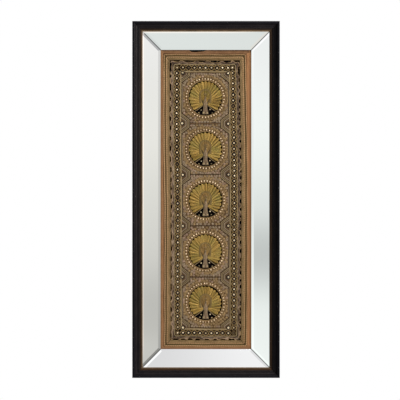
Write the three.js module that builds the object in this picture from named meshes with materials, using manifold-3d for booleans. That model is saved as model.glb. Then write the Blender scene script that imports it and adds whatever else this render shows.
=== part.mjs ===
// Embroidered wall panel: one long cloth worked with five displaying peacocks, stretched flat on a
// board inside an ebonised frame. Four bevelled mirror plates slope down from the frame to the cloth.
//
// Millimetres, +Z up, +X to the right, the front faces -Y. The origin is the centre of the flat back,
// which lies against the wall. Two measures place almost everything:
//   inset  - how far in from the frame's outer edge a point lies, the same on all four sides
//   height - how far it stands in front of the back plane (y = -height)

import * as THREE from "three";
import { mergeVertices } from "three/addons/utils/BufferGeometryUtils.js";
import Module from "manifold-3d";

// ---- Driving sizes -------------------------------------------------------------------------------

const WIDTH = 558;
const HEIGHT = 1350;
const DEPTH = 44;
const RAIL_FACE = 28; // black part of the moulding, seen from the front
const SLIP_FACE = 11; // brown slip between the moulding and the mirror
const MIRROR_FACE = 67.5;
const MEDALLIONS = 5;

const FIT = 0.3; // clearance between pieces that touch
const MITRE_BACK_OFF = FIT / 2; // each mitred end is shortened by this

// ---- Depths, from the wall forwards --------------------------------------------------------------

const BOARD_THICK = 5.7;
const BOARD_INSET = 20 + FIT;
const CLOTH_BACK = BOARD_THICK + FIT;
const CLOTH_THICK = 2;
const CLOTH_FACE = CLOTH_BACK + CLOTH_THICK;
const SEWN_ON = CLOTH_FACE + FIT; // underside of what is sewn to the cloth
const BINDING_THICK = 1.2;
const LINER_NOSE_BACK = SEWN_ON + BINDING_THICK + FIT;
const LINER_NOSE_THICK = 2.2;
const MIRROR_THICK = 4;
const MIRROR_EDGE_THICK = 2.4; // what the bevel leaves at the plate's edge
const MIRROR_BEVEL = 9;
const MIRROR_SLOPE = Math.tan((9 * Math.PI) / 180);

// ---- Insets --------------------------------------------------------------------------------------

const SIGHT = RAIL_FACE + SLIP_FACE + MIRROR_FACE; // where the mirror ends and the cloth shows
const MIRROR_OUTER = RAIL_FACE + 2;
const CLOTH_HIDDEN = 8; // cloth held under the liner's nose
const CLOTH_INSET = SIGHT - CLOTH_HIDDEN;

const BINDING_INNER = SIGHT + 9;
const BRAID_OUTER = SIGHT + 10.5;
const BRAID_INNER = SIGHT + 19.5;
const FIELD_INSET = SIGHT + 82; // the field that holds the medallions

// ---- Medallion -----------------------------------------------------------------------------------

const FIELD_HEIGHT = HEIGHT - 2 * FIELD_INSET;
const MEDALLION_PITCH = FIELD_HEIGHT / MEDALLIONS;
const WORK_ACROSS = -2; // the needlework isn't quite in the middle of its cloth
const WORK_UP = -3;
const BEAD_RING_RADIUS = 71.5;
const BEAD_RING_WIDTH = 8;
const BEAD_RING_THICK = 2.6;
const FAN_RADIUS = 59;
const FAN_RIM_THICK = 1.8;
const FAN_CROWN_THICK = 4.2;
const FAN_DROOP = 47; // degrees below level at which the lowest feathers hang
const FAN_HEM = -34; // height at which the tail's lower edge meets the body
const FAN_ARC_STEPS = 44;

// The peacock's padded body, from its foot to the top of its head, about the medallion's centre.
const BODY_ROWS = [
  { z: -58.5, half: 14.5, thick: 1.8 },
  { z: -54, half: 11, thick: 2.8 },
  { z: -47, half: 7.6, thick: 3.6 },
  { z: -38, half: 6.2, thick: 4.2 },
  { z: -30, half: 6.6, thick: 4.8 },
  { z: -21, half: 8, thick: 5.6 },
  { z: -12, half: 8.4, thick: 6 },
  { z: -4, half: 6.4, thick: 5.8 },
  { z: 1, half: 4.4, thick: 5.2 },
  { z: 4, half: 3.4, thick: 4.4 },
  { z: 6, half: 1.4, thick: 2.6 },
];
const BODY_COLUMNS = 8;

// ---- Finishes ------------------------------------------------------------------------------------

const finish = (color, roughness, metalness = 0) =>
  new THREE.MeshStandardMaterial({ color, roughness, metalness });

const EBONISED = finish("#1c1c20", 0.4);
const BROWN_SLIP = finish("#5a452f", 0.45);
const LINER_WOOD = finish("#b99c72", 0.7);
const BOARD_WOOD = finish("#8a6a48", 0.8);
const MIRROR = finish("#dfe4e1", 0.03, 1);
const GROUND_CLOTH = finish("#6b573e", 0.85);
const RUST_CLOTH = finish("#85573a", 0.8);
const GOLD_BRAID = finish("#95794a", 0.55, 0.3);
const FAN_THREAD = finish("#97803f", 0.45, 0.4);
const BODY_THREAD = finish("#8f8374", 0.4, 0.4);
const BEAD_CREAM = finish("#d8bd92", 0.3, 0.3);

// ---- Making closed meshes ------------------------------------------------------------------------

const panel = new THREE.Group();

/** Adds a named piece whose faces, given as corner lists, close on themselves. */
function addPiece(name, material, corners, faces) {
  const index = [];
  for (const face of faces)
    for (let i = 1; i < face.length - 1; i++) index.push(face[0], face[i], face[i + 1]);
  const geometry = new THREE.BufferGeometry();
  geometry.setAttribute("position", new THREE.Float32BufferAttribute(corners.flat(), 3));
  geometry.setIndex(signedVolume(corners, index) < 0 ? index.reverse() : index);
  geometry.computeVertexNormals();
  return addMesh(name, material, geometry);
}

function addMesh(name, material, geometry) {
  const mesh = new THREE.Mesh(geometry, material);
  mesh.name = name;
  panel.add(mesh);
  return mesh;
}

/** Six times the volume that a triangle list closes, negative when its faces point inwards. */
function signedVolume(corners, index) {
  let sum = 0;
  for (let i = 0; i < index.length; i += 3) {
    const [a, b, c] = [0, 1, 2].map((k) => new THREE.Vector3(...corners[index[i + k]]));
    sum += a.dot(b.cross(c));
  }
  return sum;
}

/** Points on an arc from one angle to another, in degrees, both ends included. */
function arc(cx, cy, radius, from, to, steps) {
  return Array.from({ length: steps + 1 }, (_, i) => {
    const a = ((from + ((to - from) * i) / steps) * Math.PI) / 180;
    return [cx + radius * Math.cos(a), cy + radius * Math.sin(a)];
  });
}

// ---- Rings of four mitred pieces -----------------------------------------------------------------

const SIDES = ["bottom", "right", "top", "left"];

/** Where a point of one side lies. Run is from -1 to 1 along the side, and backOff shortens it. */
function onSide(side, run, inset, height, backOff) {
  const level = side === "bottom" || side === "top";
  const along = run * ((level ? WIDTH : HEIGHT) / 2 - inset - backOff);
  const across = (level ? HEIGHT : WIDTH) / 2 - inset;
  if (side === "bottom") return [along, -height, -across];
  if (side === "top") return [along, -height, across];
  return [side === "left" ? -across : across, -height, along];
}

/** Four lengths of one moulding, mitred at the corners. A section is a list of [inset, height]. */
function addRing(name, section, material) {
  const outline = section.map(([inset, height]) => new THREE.Vector2(inset, height));
  if (THREE.ShapeUtils.isClockWise(outline)) outline.reverse();
  const caps = THREE.ShapeUtils.triangulateShape(outline, []);
  const n = outline.length;
  const faces = outline.map((_, i) => [i, (i + 1) % n, n + ((i + 1) % n), n + i]);
  for (const [a, b, c] of caps) faces.push([c, b, a], [n + a, n + b, n + c]);
  for (const side of SIDES) {
    const corners = [-1, 1].flatMap((run) =>
      outline.map(({ x, y }) => onSide(side, run, x, y, MITRE_BACK_OFF)),
    );
    addPiece(`${name}_${side}`, material, corners, faces);
  }
}

// ---- Frame moulding: outer bead, cove, small bead, and a rebate behind for the board ------------

function railSection() {
  const outerBead = 6;
  const shoulder = DEPTH - outerBead;
  const smallBead = 2.6;
  const innerTop = 33;
  const beadCentre = RAIL_FACE - 1 - smallBead;
  const coveHead = arc(outerBead, shoulder, outerBead, 22, 22, 1)[0];
  const coveFoot = [beadCentre - smallBead - 1.2, innerTop + 0.4];
  const coveSag = 1.5;
  const coveSteps = 10;
  const cove = Array.from({ length: coveSteps - 1 }, (_, i) => {
    const along = (i + 1) / coveSteps;
    const sag = coveSag * Math.sin(Math.PI * along);
    const inset = THREE.MathUtils.lerp(coveHead[0], coveFoot[0], along) - sag * 0.5;
    return [inset, THREE.MathUtils.lerp(coveHead[1], coveFoot[1], along) - sag];
  });
  return [
    [0, 0],
    ...arc(outerBead, shoulder, outerBead, 180, 22, 18),
    ...cove,
    coveFoot,
    [coveFoot[0] + 0.6, innerTop - 0.8],
    ...arc(beadCentre, innerTop, smallBead, 172, 8, 12),
    [RAIL_FACE, innerTop],
    [RAIL_FACE, CLOTH_BACK],
    [BOARD_INSET - FIT, CLOTH_BACK],
    [BOARD_INSET - FIT, 0],
  ];
}

// ---- Mirror: four bevelled plates on a sloping liner --------------------------------------------

/** Height of the liner's sloping face. The plate's own faces lie parallel to it. */
const linerFace = (inset) => LINER_NOSE_BACK + LINER_NOSE_THICK + (SIGHT - inset) * MIRROR_SLOPE;

function linerSection() {
  const outer = RAIL_FACE + FIT;
  const inner = SIGHT - FIT;
  return [
    [outer, CLOTH_BACK],
    [outer, linerFace(MIRROR_OUTER)],
    [MIRROR_OUTER, linerFace(MIRROR_OUTER)],
    [inner, linerFace(inner)],
    [inner, LINER_NOSE_BACK],
    [CLOTH_INSET - FIT, LINER_NOSE_BACK],
    [CLOTH_INSET - FIT, CLOTH_BACK],
  ];
}

/** A mitred plate, thick in the middle, with a bevel along its inner edge and both mitres. */
function addMirror(side) {
  const back = (inset) => linerFace(inset) + FIT;
  const bevelRun = MIRROR_BEVEL * Math.SQRT2; // a bevel as wide on the mitres as on the long edge
  const rings = [
    { outer: MIRROR_OUTER, inner: SIGHT, rise: 0, draw: 0 },
    { outer: MIRROR_OUTER, inner: SIGHT, rise: MIRROR_EDGE_THICK, draw: 0 },
    { outer: MIRROR_OUTER, inner: SIGHT - MIRROR_BEVEL, rise: MIRROR_THICK, draw: bevelRun },
  ];
  const corners = rings.flatMap(({ outer, inner, rise, draw }) =>
    [
      [-1, outer],
      [1, outer],
      [1, inner],
      [-1, inner],
    ].map(([run, inset]) =>
      onSide(side, run, inset, back(inset) + rise, MITRE_BACK_OFF + FIT + draw),
    ),
  );
  const walls = [0, 4].flatMap((base) =>
    [0, 1, 2, 3].map((i) => [base + i, base + ((i + 1) % 4), base + 4 + ((i + 1) % 4), base + 4 + i]),
  );
  addPiece(`mirror_${side}`, MIRROR, corners, [[3, 2, 1, 0], ...walls, [8, 9, 10, 11]]);
}

/** The slip: a quarter-round that falls from the moulding to the glass. */
function slipSection() {
  const outer = RAIL_FACE + FIT;
  const inner = RAIL_FACE + SLIP_FACE;
  const under = (inset) => linerFace(inset) + MIRROR_THICK + 2 * FIT;
  const crown = 33;
  const fillet = 1.6;
  const nose = under(inner) + 1;
  const round = arc(0, 0, 1, 90, 0, 10).map(([across, up]) => [
    outer + fillet + across * (inner - outer - fillet),
    nose + up * (crown - nose),
  ]);
  return [
    [outer, under(outer)],
    [outer, crown - 0.6],
    [outer + fillet, crown - 0.6],
    ...round,
    [inner, under(inner)],
  ];
}

// ---- Cloth and what is sewn to its edges ---------------------------------------------------------

/** A strip sewn flat on the cloth, its top gently crowned. */
function stripSection(outer, inner, thick) {
  const soften = 0.8;
  return [
    [outer, SEWN_ON],
    [outer, SEWN_ON + thick * 0.6],
    [outer + soften, SEWN_ON + thick],
    [inner - soften, SEWN_ON + thick],
    [inner, SEWN_ON + thick * 0.6],
    [inner, SEWN_ON],
  ];
}

function addSlab(name, material, inset, back, thick) {
  const geometry = new THREE.BoxGeometry(WIDTH - 2 * inset, thick, HEIGHT - 2 * inset);
  addMesh(name, material, geometry).position.y = -(back + thick / 2);
}

// ---- Medallions ----------------------------------------------------------------------------------

/** Half-width of the body at a height on the medallion, read from its rows. */
function bodyHalf(z) {
  const next = BODY_ROWS.findIndex((row) => row.z >= z);
  if (next <= 0) return BODY_ROWS[0].half;
  const [low, high] = [BODY_ROWS[next - 1], BODY_ROWS[next]];
  return THREE.MathUtils.mapLinear(z, low.z, high.z, low.half, high.half);
}

/** The spread tail seen from the front: a broad fan with a notch that the body fills. */
function fanOutline() {
  const clear = 2 * FIT;
  const rim = arc(0, 0, FAN_RADIUS, -FAN_DROOP, 180 + FAN_DROOP, FAN_ARC_STEPS);
  const flank = BODY_ROWS.filter((row) => row.z > FAN_HEM);
  const hemHalf = bodyHalf(FAN_HEM) + clear;
  const crown = BODY_ROWS.at(-1).z + clear;
  const left = flank.map((row) => [-(row.half + clear), row.z]);
  const right = flank.map((row) => [row.half + clear, row.z]).reverse();
  return [...rim, [-hemHalf, FAN_HEM], ...left, [-1, crown], [1, crown], ...right, [hemHalf, FAN_HEM]];
}

const wasm = await Module();
wasm.setup();

/** A closed geometry as a solid that can be cut. Triangles that shrink to a line are left out. */
function toSolid(geometry) {
  geometry.deleteAttribute("normal");
  geometry.deleteAttribute("uv");
  const merged = mergeVertices(geometry, 1e-4);
  const order = merged.index.array;
  const triVerts = [];
  for (let i = 0; i < order.length; i += 3) {
    const [a, b, c] = order.slice(i, i + 3);
    if (a !== b && b !== c && c !== a) triVerts.push(a, b, c);
  }
  const vertProperties = merged.getAttribute("position").array;
  return new wasm.Manifold(
    new wasm.Mesh({ numProp: 3, vertProperties, triVerts: new Uint32Array(triVerts) }),
  );
}

function fromSolid(solid) {
  const { vertProperties, triVerts } = solid.getMesh();
  const geometry = new THREE.BufferGeometry();
  geometry.setAttribute("position", new THREE.BufferAttribute(vertProperties, 3));
  geometry.setIndex(new THREE.BufferAttribute(triVerts, 1));
  return geometry;
}

/** The padded tail: its outline cut out of a low dome, lying in X and Z with its crown towards -Y. */
function fanGeometry() {
  const outline = new THREE.Shape(fanOutline().map(([x, z]) => new THREE.Vector2(x, z)));
  const cutter = new THREE.ExtrudeGeometry(outline, { depth: 20, bevelEnabled: false });
  cutter.translate(0, 0, -10);
  const reach = FAN_RADIUS + 2;
  const steps = 6;
  const dome = Array.from({ length: steps + 1 }, (_, i) => {
    const share = i / steps;
    const thick = THREE.MathUtils.lerp(FAN_CROWN_THICK, FAN_RIM_THICK, share * share);
    return new THREE.Vector2(reach * share, thick);
  });
  const profile = [new THREE.Vector2(0, 0), new THREE.Vector2(reach, 0), ...dome.reverse()];
  const lathe = new THREE.LatheGeometry(profile, 32);
  lathe.rotateX(Math.PI / 2);
  const made = fromSolid(toSolid(lathe).intersect(toSolid(cutter)));
  return made.rotateX(Math.PI / 2);
}

/** The padded body: half-round across, lofted through its rows, flat where it is sewn down. */
function bodyPiece() {
  const n = BODY_COLUMNS + 1;
  const corners = BODY_ROWS.flatMap(({ z, half, thick }) =>
    Array.from({ length: n }, (_, i) => {
      const a = (Math.PI * i) / BODY_COLUMNS;
      return [half * Math.cos(a), -thick * Math.sin(a), z];
    }),
  );
  const faces = [];
  for (let row = 0; row < BODY_ROWS.length - 1; row++) {
    for (let i = 0; i < BODY_COLUMNS; i++) {
      const a = row * n + i;
      faces.push([a, a + 1, a + n + 1, a + n]);
    }
    faces.push([row * n, (row + 1) * n, (row + 1) * n + BODY_COLUMNS, row * n + BODY_COLUMNS]);
  }
  const last = (BODY_ROWS.length - 1) * n;
  faces.push(Array.from({ length: n }, (_, i) => BODY_COLUMNS - i));
  faces.push(Array.from({ length: n }, (_, i) => last + i));
  return { corners, faces };
}

/** The corded ring round a medallion that its beads are sewn along. */
function beadRingGeometry() {
  const section = [
    [-0.5, 0],
    [0.5, 0],
    [0.5, 0.5],
    [0.25, 1],
    [-0.25, 1],
    [-0.5, 0.5],
    [-0.5, 0],
  ];
  const profile = section.map(
    ([across, up]) =>
      new THREE.Vector2(BEAD_RING_RADIUS + across * BEAD_RING_WIDTH, up * BEAD_RING_THICK),
  );
  return new THREE.LatheGeometry(profile, 64).rotateX(Math.PI);
}

function addMedallions() {
  const fan = fanGeometry();
  const ring = beadRingGeometry();
  const body = bodyPiece();
  for (let i = 0; i < MEDALLIONS; i++) {
    const z = WORK_UP + ((MEDALLIONS - 1) / 2 - i) * MEDALLION_PITCH;
    const pieces = [
      addMesh(`peacock_tail_${i + 1}`, FAN_THREAD, fan),
      addMesh(`bead_ring_${i + 1}`, BEAD_CREAM, ring),
      addPiece(`peacock_body_${i + 1}`, BODY_THREAD, body.corners, body.faces),
    ];
    for (const piece of pieces) piece.position.set(WORK_ACROSS, -SEWN_ON, z);
  }
}

// ---- The panel -----------------------------------------------------------------------------------

addRing("rail", railSection(), EBONISED);
addRing("slip", slipSection(), BROWN_SLIP);
addRing("liner", linerSection(), LINER_WOOD);
for (const side of SIDES) addMirror(side);
addSlab("back_board", BOARD_WOOD, BOARD_INSET, 0, BOARD_THICK);
addSlab("ground_cloth", GROUND_CLOTH, CLOTH_INSET, CLOTH_BACK, CLOTH_THICK);
addRing("binding", stripSection(CLOTH_INSET, BINDING_INNER, BINDING_THICK), RUST_CLOTH);
addRing("braid", stripSection(BRAID_OUTER, BRAID_INNER, BINDING_THICK), GOLD_BRAID);
addMedallions();

export default panel;
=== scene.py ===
import math
from functools import partial

import bpy
import numpy as np
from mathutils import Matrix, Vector


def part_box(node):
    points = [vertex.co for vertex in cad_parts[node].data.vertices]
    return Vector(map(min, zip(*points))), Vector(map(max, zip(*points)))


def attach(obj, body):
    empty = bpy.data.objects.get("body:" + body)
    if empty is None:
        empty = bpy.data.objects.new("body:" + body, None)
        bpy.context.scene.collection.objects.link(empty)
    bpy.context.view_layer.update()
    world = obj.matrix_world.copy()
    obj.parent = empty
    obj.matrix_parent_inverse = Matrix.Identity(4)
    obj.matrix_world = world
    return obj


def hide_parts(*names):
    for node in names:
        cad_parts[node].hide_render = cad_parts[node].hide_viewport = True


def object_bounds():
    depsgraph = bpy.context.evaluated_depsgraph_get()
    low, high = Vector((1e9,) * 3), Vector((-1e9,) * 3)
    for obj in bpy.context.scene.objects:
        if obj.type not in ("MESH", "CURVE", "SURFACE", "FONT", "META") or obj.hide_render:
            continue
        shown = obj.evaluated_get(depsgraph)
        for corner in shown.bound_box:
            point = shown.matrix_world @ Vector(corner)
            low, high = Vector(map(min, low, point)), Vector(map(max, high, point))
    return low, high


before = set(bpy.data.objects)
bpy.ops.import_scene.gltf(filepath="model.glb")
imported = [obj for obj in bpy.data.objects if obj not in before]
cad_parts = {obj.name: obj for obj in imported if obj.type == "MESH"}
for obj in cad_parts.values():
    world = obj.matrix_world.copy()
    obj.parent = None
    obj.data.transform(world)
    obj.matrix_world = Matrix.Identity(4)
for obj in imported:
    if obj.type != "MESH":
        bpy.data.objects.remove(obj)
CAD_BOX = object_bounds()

# An embroidered wall panel. Five peacocks in beaded rings are sewn on one long cloth, in rows of
# couched cords and sequins, inside a mirror surround and a dark moulded frame.
# All needlework is laid out in millimetres on the cloth: x to the right and z up from its middle, and
# height out of the cloth towards the viewer. It turns to metres only where a mesh is made.

MM = 0.001
SEED = 11
rng = np.random.default_rng(SEED)


def box_mm(node):
    low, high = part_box(node)
    return low / MM, high / MM


# ---- Places, all from the frame ---------------------------------------------------------------------

HALF_WIDTH = CAD_BOX[1].x / MM
HALF_HEIGHT = CAD_BOX[1].z / MM
SIGHT_X = -box_mm("mirror_left")[1].x  # half the opening in which the cloth shows
SIGHT_Z = box_mm("mirror_top")[0].z
CLOTH_FACE = -box_mm("ground_cloth")[0].y
CLOTH_HALF_X = box_mm("ground_cloth")[1].x
CLOTH_HALF_Z = box_mm("ground_cloth")[1].z
MEDALLIONS = sorted(int(n.rsplit("_", 1)[1]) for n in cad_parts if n.startswith("bead_ring_"))
RINGS = {i: box_mm(f"bead_ring_{i}") for i in MEDALLIONS}
WORK_ACROSS = sum(c.x for c in RINGS[1]) / 2  # the needlework isn't quite in the middle of its cloth
WORK_UP = (RINGS[MEDALLIONS[0]][1].z + RINGS[MEDALLIONS[-1]][0].z) / 2
CENTRES = {i: sum(c.z for c in ring) / 2 - WORK_UP for i, ring in RINGS.items()}
PITCH = CENTRES[1] - CENTRES[2]
BEAD_RING_OUTER = (RINGS[1][1].x - RINGS[1][0].x) / 2
TAIL_BOX = box_mm("peacock_tail_1")
FAN_RADIUS = (TAIL_BOX[1].x - TAIL_BOX[0].x) / 2

# ---- Where the border's rows lie, in from the edge of the opening -----------------------------------

BRAID = ((15.0, 5.2), (20.2, 2.8), (24.4, 4.8))  # each cord's inset and width
TAN_CORDS = (28.7, 31.8, 34.9)
MEANDER = (38.0, 40.7, 43.4, 46.1, 48.8)  # its five cords, where they lie closed
MEANDER_LINE = 52.4
SEQUIN_ROW = 63.9
FIELD_LINE = 79
SEQUIN_PITCH = 21.4
SEQUIN_RADIUS = 3.1

# ---- The hand of the embroiderer --------------------------------------------------------------------

TALLER = 1.9  # how far each medallion is at most drawn out upwards and downwards
HELD_STRAIGHT = 8  # how far in from the opening the cloth's edge is held straight
FREED_OVER = 7  # and over how much more the lines come to waver
LEANS_FROM, LEANS_OVER = 84, 24  # how far out the borders' lean starts, and over how much more it comes


def by_hand(points):
    """Where a point of the drawing comes to lie on the cloth. The needlework is a little off the middle and
    its lines waver, as in work sewn by eye. The cloth's edge, which is held straight, stays as it is."""
    x, z = points[:, 0], points[:, 1]
    from_edge = np.minimum(SIGHT_X - np.abs(x), SIGHT_Z - np.abs(z))
    free = np.clip((from_edge - HELD_STRAIGHT) / FREED_OVER, 0, 1)
    taller = np.where(np.abs(z) < 2.5 * PITCH, TALLER * np.sin(2 * np.pi * z / PITCH), 0)
    beside = np.clip((np.abs(x) - LEANS_FROM) / LEANS_OVER, 0, 1)
    left_lean = np.interp(z, [-560, -190, 190, 560], [1.5, 4.2, 0.3, -1])
    right_lean = np.interp(z, [-560, -330, 190, 560], [-2, 0.8, 0.8, -7])
    waver_x = 0.9 * np.sin(z / 83 + 1.3) * np.cos(x / 150 + 0.4) + 0.35 * np.sin(z / 23 + x / 41)
    waver_z = 0.9 * np.sin(x / 57 + 0.7) * np.cos(z / 131) + 0.35 * np.sin(x / 19 - z / 47)
    dx = WORK_ACROSS + beside * np.where(x < 0, left_lean, right_lean) + waver_x
    dz = WORK_UP + taller + waver_z
    return np.stack([x + free * dx, z + free * dz], axis=1)


class Work:
    """Closed forms in millimetres, gathered to be made into one mesh."""

    def __init__(self):
        self.points, self.faces, self.uvs, self.shades = [], [], [], []
        self.count = 0

    def add(self, points, faces, uvs, shade):
        self.points.append(points)
        self.faces += [np.asarray(f) + self.count for f in faces]
        self.uvs.append(uvs)
        self.shades.append(np.broadcast_to(shade, len(points)))
        self.count += len(points)

    def make(self, name, material, slot, replaces=()):
        """One mesh on the cloth. Points are (x, height, z), and a group's faces all have as many corners."""
        points = np.concatenate(self.points)
        x, height, z = points.T
        in_metres = np.stack([x, -(CLOTH_FACE + height), z], axis=1) * MM
        corners = np.concatenate([f.ravel() for f in self.faces])
        sizes = np.concatenate([np.full(len(f), f.shape[1]) for f in self.faces])
        mesh = bpy.data.meshes.new(name)
        mesh.vertices.add(len(points))
        mesh.vertices.foreach_set("co", in_metres.astype(np.float32).ravel())
        mesh.loops.add(len(corners))
        mesh.loops.foreach_set("vertex_index", corners.astype(np.int32))
        mesh.polygons.add(len(sizes))
        mesh.polygons.foreach_set("loop_start", (np.cumsum(sizes) - sizes).astype(np.int32))
        mesh.polygons.foreach_set("use_smooth", np.ones(len(sizes), bool))
        uv = mesh.uv_layers.new(name="along_and_round")
        uv.data.foreach_set("uv", np.concatenate(self.uvs)[corners].astype(np.float32).ravel())
        shade = mesh.attributes.new("shade", "FLOAT", "POINT")
        shade.data.foreach_set("value", np.concatenate(self.shades).astype(np.float32))
        mesh.update(calc_edges=True)
        mesh.materials.append(material)
        return place(bpy.data.objects.new(name, mesh), replaces)


def place(piece, replaces=()):
    """Links a piece, and says what it rides on and which solids of the frame it stands for."""
    bpy.context.scene.collection.objects.link(piece)
    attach(piece, "root")
    if replaces:
        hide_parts(*replaces)
    return piece


# ---- Paths on the cloth -----------------------------------------------------------------------------


def length_along(path):
    steps = np.linalg.norm(np.diff(path, axis=0), axis=1)
    return np.concatenate([[0], np.cumsum(steps)])


def spaced(path, step, closed=False):
    """The path again, with its points evenly about a step apart."""
    path = np.asarray(path, float)
    if closed:
        path = np.vstack([path, path[:1]])
    along = length_along(path)
    count = max(3, math.ceil(along[-1] / step) + 1)
    at = np.linspace(0, along[-1], count)
    even = np.stack([np.interp(at, along, path[:, k]) for k in (0, 1)], axis=1)
    return even[:-1] if closed else even


def circle(x, z, radius, start=0, end=360, step=2.0):
    count = max(8, math.ceil(abs(math.radians(end - start)) * radius / step))
    angle = np.radians(np.linspace(start, end, count + 1))
    points = np.stack([x + radius * np.cos(angle), z + radius * np.sin(angle)], axis=1)
    return points[:-1] if abs(end - start) == 360 else points


def frame_loop(inset, corner, step):
    """A closed path at one inset from the opening's edge, with rounded corners."""
    a, b = SIGHT_X - inset - corner, SIGHT_Z - inset - corner
    turns = [(a, b, 0), (-a, b, 90), (-a, -b, 180), (a, -b, 270)]
    arcs = [circle(x, z, corner, start, start + 90, 1.0) for x, z, start in turns]
    return spaced(np.vstack(arcs), step, closed=True)


def sideways(path, closed):
    """The unit direction to the left of the path at each point."""
    if closed:
        ahead = np.roll(path, -1, axis=0) - np.roll(path, 1, axis=0)
    else:
        ahead = np.gradient(path, axis=0)
    ahead = ahead / np.maximum(np.linalg.norm(ahead, axis=1), 1e-9)[:, None]
    return np.stack([-ahead[:, 1], ahead[:, 0]], axis=1)


# ---- Laying cords, beads, sequins and padded shapes -------------------------------------------------


def skin(rings, sides, closed=False):
    """The faces between rings of points. If it is closed, the last ring goes on into the first."""
    here = np.arange(rings if closed else rings - 1)[:, None] * sides
    there = (here + sides) % (rings * sides)
    i = np.arange(sides)
    j = (i + 1) % sides
    return np.stack([here + j, there + j, there + i, here + i], axis=2).reshape(-1, 4)


def lay_cord(work, path, width, rise=0.8, lift=0.0, closed=False, sides=6, twist=0.0, ply=5.0, shade=None):
    """A cord couched flat along a path. Twist swells it along its plies, which repeat at each ply length."""
    path = by_hand(np.asarray(path, float))
    across = sideways(path, closed)
    along = length_along(path)
    angle = np.radians(np.linspace(-30, 210, sides))
    swell = 1 + twist * np.cos(2 * np.pi * along[:, None] / ply + 1.5 * angle)
    out = np.cos(angle) * swell * width / 2
    height = lift + (np.sin(angle) + 0.5) / 1.5 * swell * width * rise
    x = path[:, :1] + across[:, :1] * out
    z = path[:, 1:] + across[:, 1:] * out
    points = np.stack([x, height, z], axis=2).reshape(-1, 3)
    faces = [skin(len(path), sides, closed)]
    if not closed:
        first_end = np.arange(sides)[None]
        faces += [first_end[:, ::-1], first_end + (len(path) - 1) * sides]
    uvs = np.stack(np.broadcast_arrays(along[:, None] / ply, angle / (2 * np.pi)), axis=2)
    tone = rng.random() if shade is None else shade
    if np.ndim(tone):
        tone = np.repeat(tone, sides)
    work.add(points, faces, uvs.reshape(-1, 2), tone)


def lay_turned(work, x, z, profile, sides, lift=0.0, tilt=0.0, shade=None):
    """A small turned form, such as a sequin: a closed profile of (radius, height) spun on its axis."""
    x, z = by_hand(np.array([[x, z]], float))[0]
    turn = np.linspace(0, 2 * np.pi, sides, endpoint=False)
    radius, up = np.array(profile, float).T
    px = radius[:, None] * np.cos(turn)
    pz = radius[:, None] * np.sin(turn)
    way = rng.random() * 2 * np.pi
    slope = (px * math.cos(way) + pz * math.sin(way)) * math.sin(math.radians(tilt))
    height = lift + up[:, None] + slope
    points = np.stack([x + px, height, z + pz], axis=2).reshape(-1, 3)
    uvs = np.stack([px, pz], axis=2).reshape(-1, 2)
    faces = skin(len(profile), sides, closed=True)
    work.add(points, [faces], uvs, rng.random() if shade is None else shade)


def lay_sequin(work, x, z, radius, lift, shade=None, sides=20):
    """A cupped sequin with its hole, sewn down a little askew."""
    top = [(1, 0.09), (0.8, 0.27), (0.5, 0.17), (0.24, 0.12)]
    underside = [(0.24, 0.02), (0.5, 0.05), (0.8, 0.16)]
    scaled = [(r * radius, h * radius) for r, h in [(1, 0), *top, *underside]]
    lay_turned(work, x, z, scaled, sides, lift, tilt=rng.uniform(2, 9), shade=shade)


def lay_bead(work, x, z, half, turn=0.0, lift=0.0, sides=8, rings=5, shade=None):
    """A bead or a stitch: an ellipsoid of half sizes (along, across, up), its length turned by so many
    degrees."""
    x, z = by_hand(np.array([[x, z]], float))[0]
    polar = np.linspace(0, np.pi, rings)[1:-1]
    round_it = np.linspace(0, 2 * np.pi, sides, endpoint=False)
    a = (np.sin(polar)[:, None] * np.cos(round_it)).ravel() * half[0]
    b = (np.sin(polar)[:, None] * np.sin(round_it)).ravel() * half[1]
    c = np.repeat(np.cos(polar), sides) * half[2]
    a, b, c = (np.concatenate([v, [0, 0]]) for v in (a, b, c))
    c[-2:] = half[2], -half[2]
    ca, sa = math.cos(math.radians(turn)), math.sin(math.radians(turn))
    points = np.stack([x + a * ca - b * sa, lift + half[2] + c, z + a * sa + b * ca], axis=1)
    outward = np.roll(skin(rings - 2, sides)[:, ::-1], -1, axis=1)  # the rings come from the top down
    top, foot = np.full(sides, len(a) - 2), np.full(sides, len(a) - 1)
    i = np.arange(sides)
    j = (i + 1) % sides
    last = (rings - 3) * sides
    caps = [np.stack([top, i, j], axis=1), np.stack([foot, last + j, last + i], axis=1)]
    uvs = np.stack([a, b], axis=1)
    work.add(points, [outward, *caps], uvs, rng.random() if shade is None else shade)


def lay_patch(work, x, z, height, foot, uv=None, shade=0.5):
    """A padded shape from a grid of points: its top at height, its underside flat at foot."""
    rows, columns = x.shape
    flat = by_hand(np.stack([x.ravel(), z.ravel()], axis=1))
    under = np.full(x.size, foot)
    top = np.stack([flat[:, 0], height.ravel(), flat[:, 1]], axis=1)
    base = np.stack([flat[:, 0], under, flat[:, 1]], axis=1)
    grid = np.arange(rows * columns).reshape(rows, columns)
    a, b, c, d = grid[:-1, :-1], grid[:-1, 1:], grid[1:, 1:], grid[1:, :-1]
    upper = np.stack([a, b, c, d], axis=2).reshape(-1, 4)
    lower = upper[:, ::-1] + rows * columns
    rim = np.concatenate([grid[0, :-1], grid[:-1, -1], grid[-1, :0:-1], grid[:0:-1, 0]])
    after = np.roll(rim, -1)
    wall = np.stack([after, rim, rim + rows * columns, after + rows * columns], axis=1)
    uvs = np.stack([x.ravel(), z.ravel()], axis=1) if uv is None else uv
    tone = np.broadcast_to(shade, x.shape).ravel()
    work.add(np.vstack([top, base]), [upper, lower, wall], np.vstack([uvs, uvs]), np.tile(tone, 2))


# ---- Materials --------------------------------------------------------------------------------------


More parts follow.
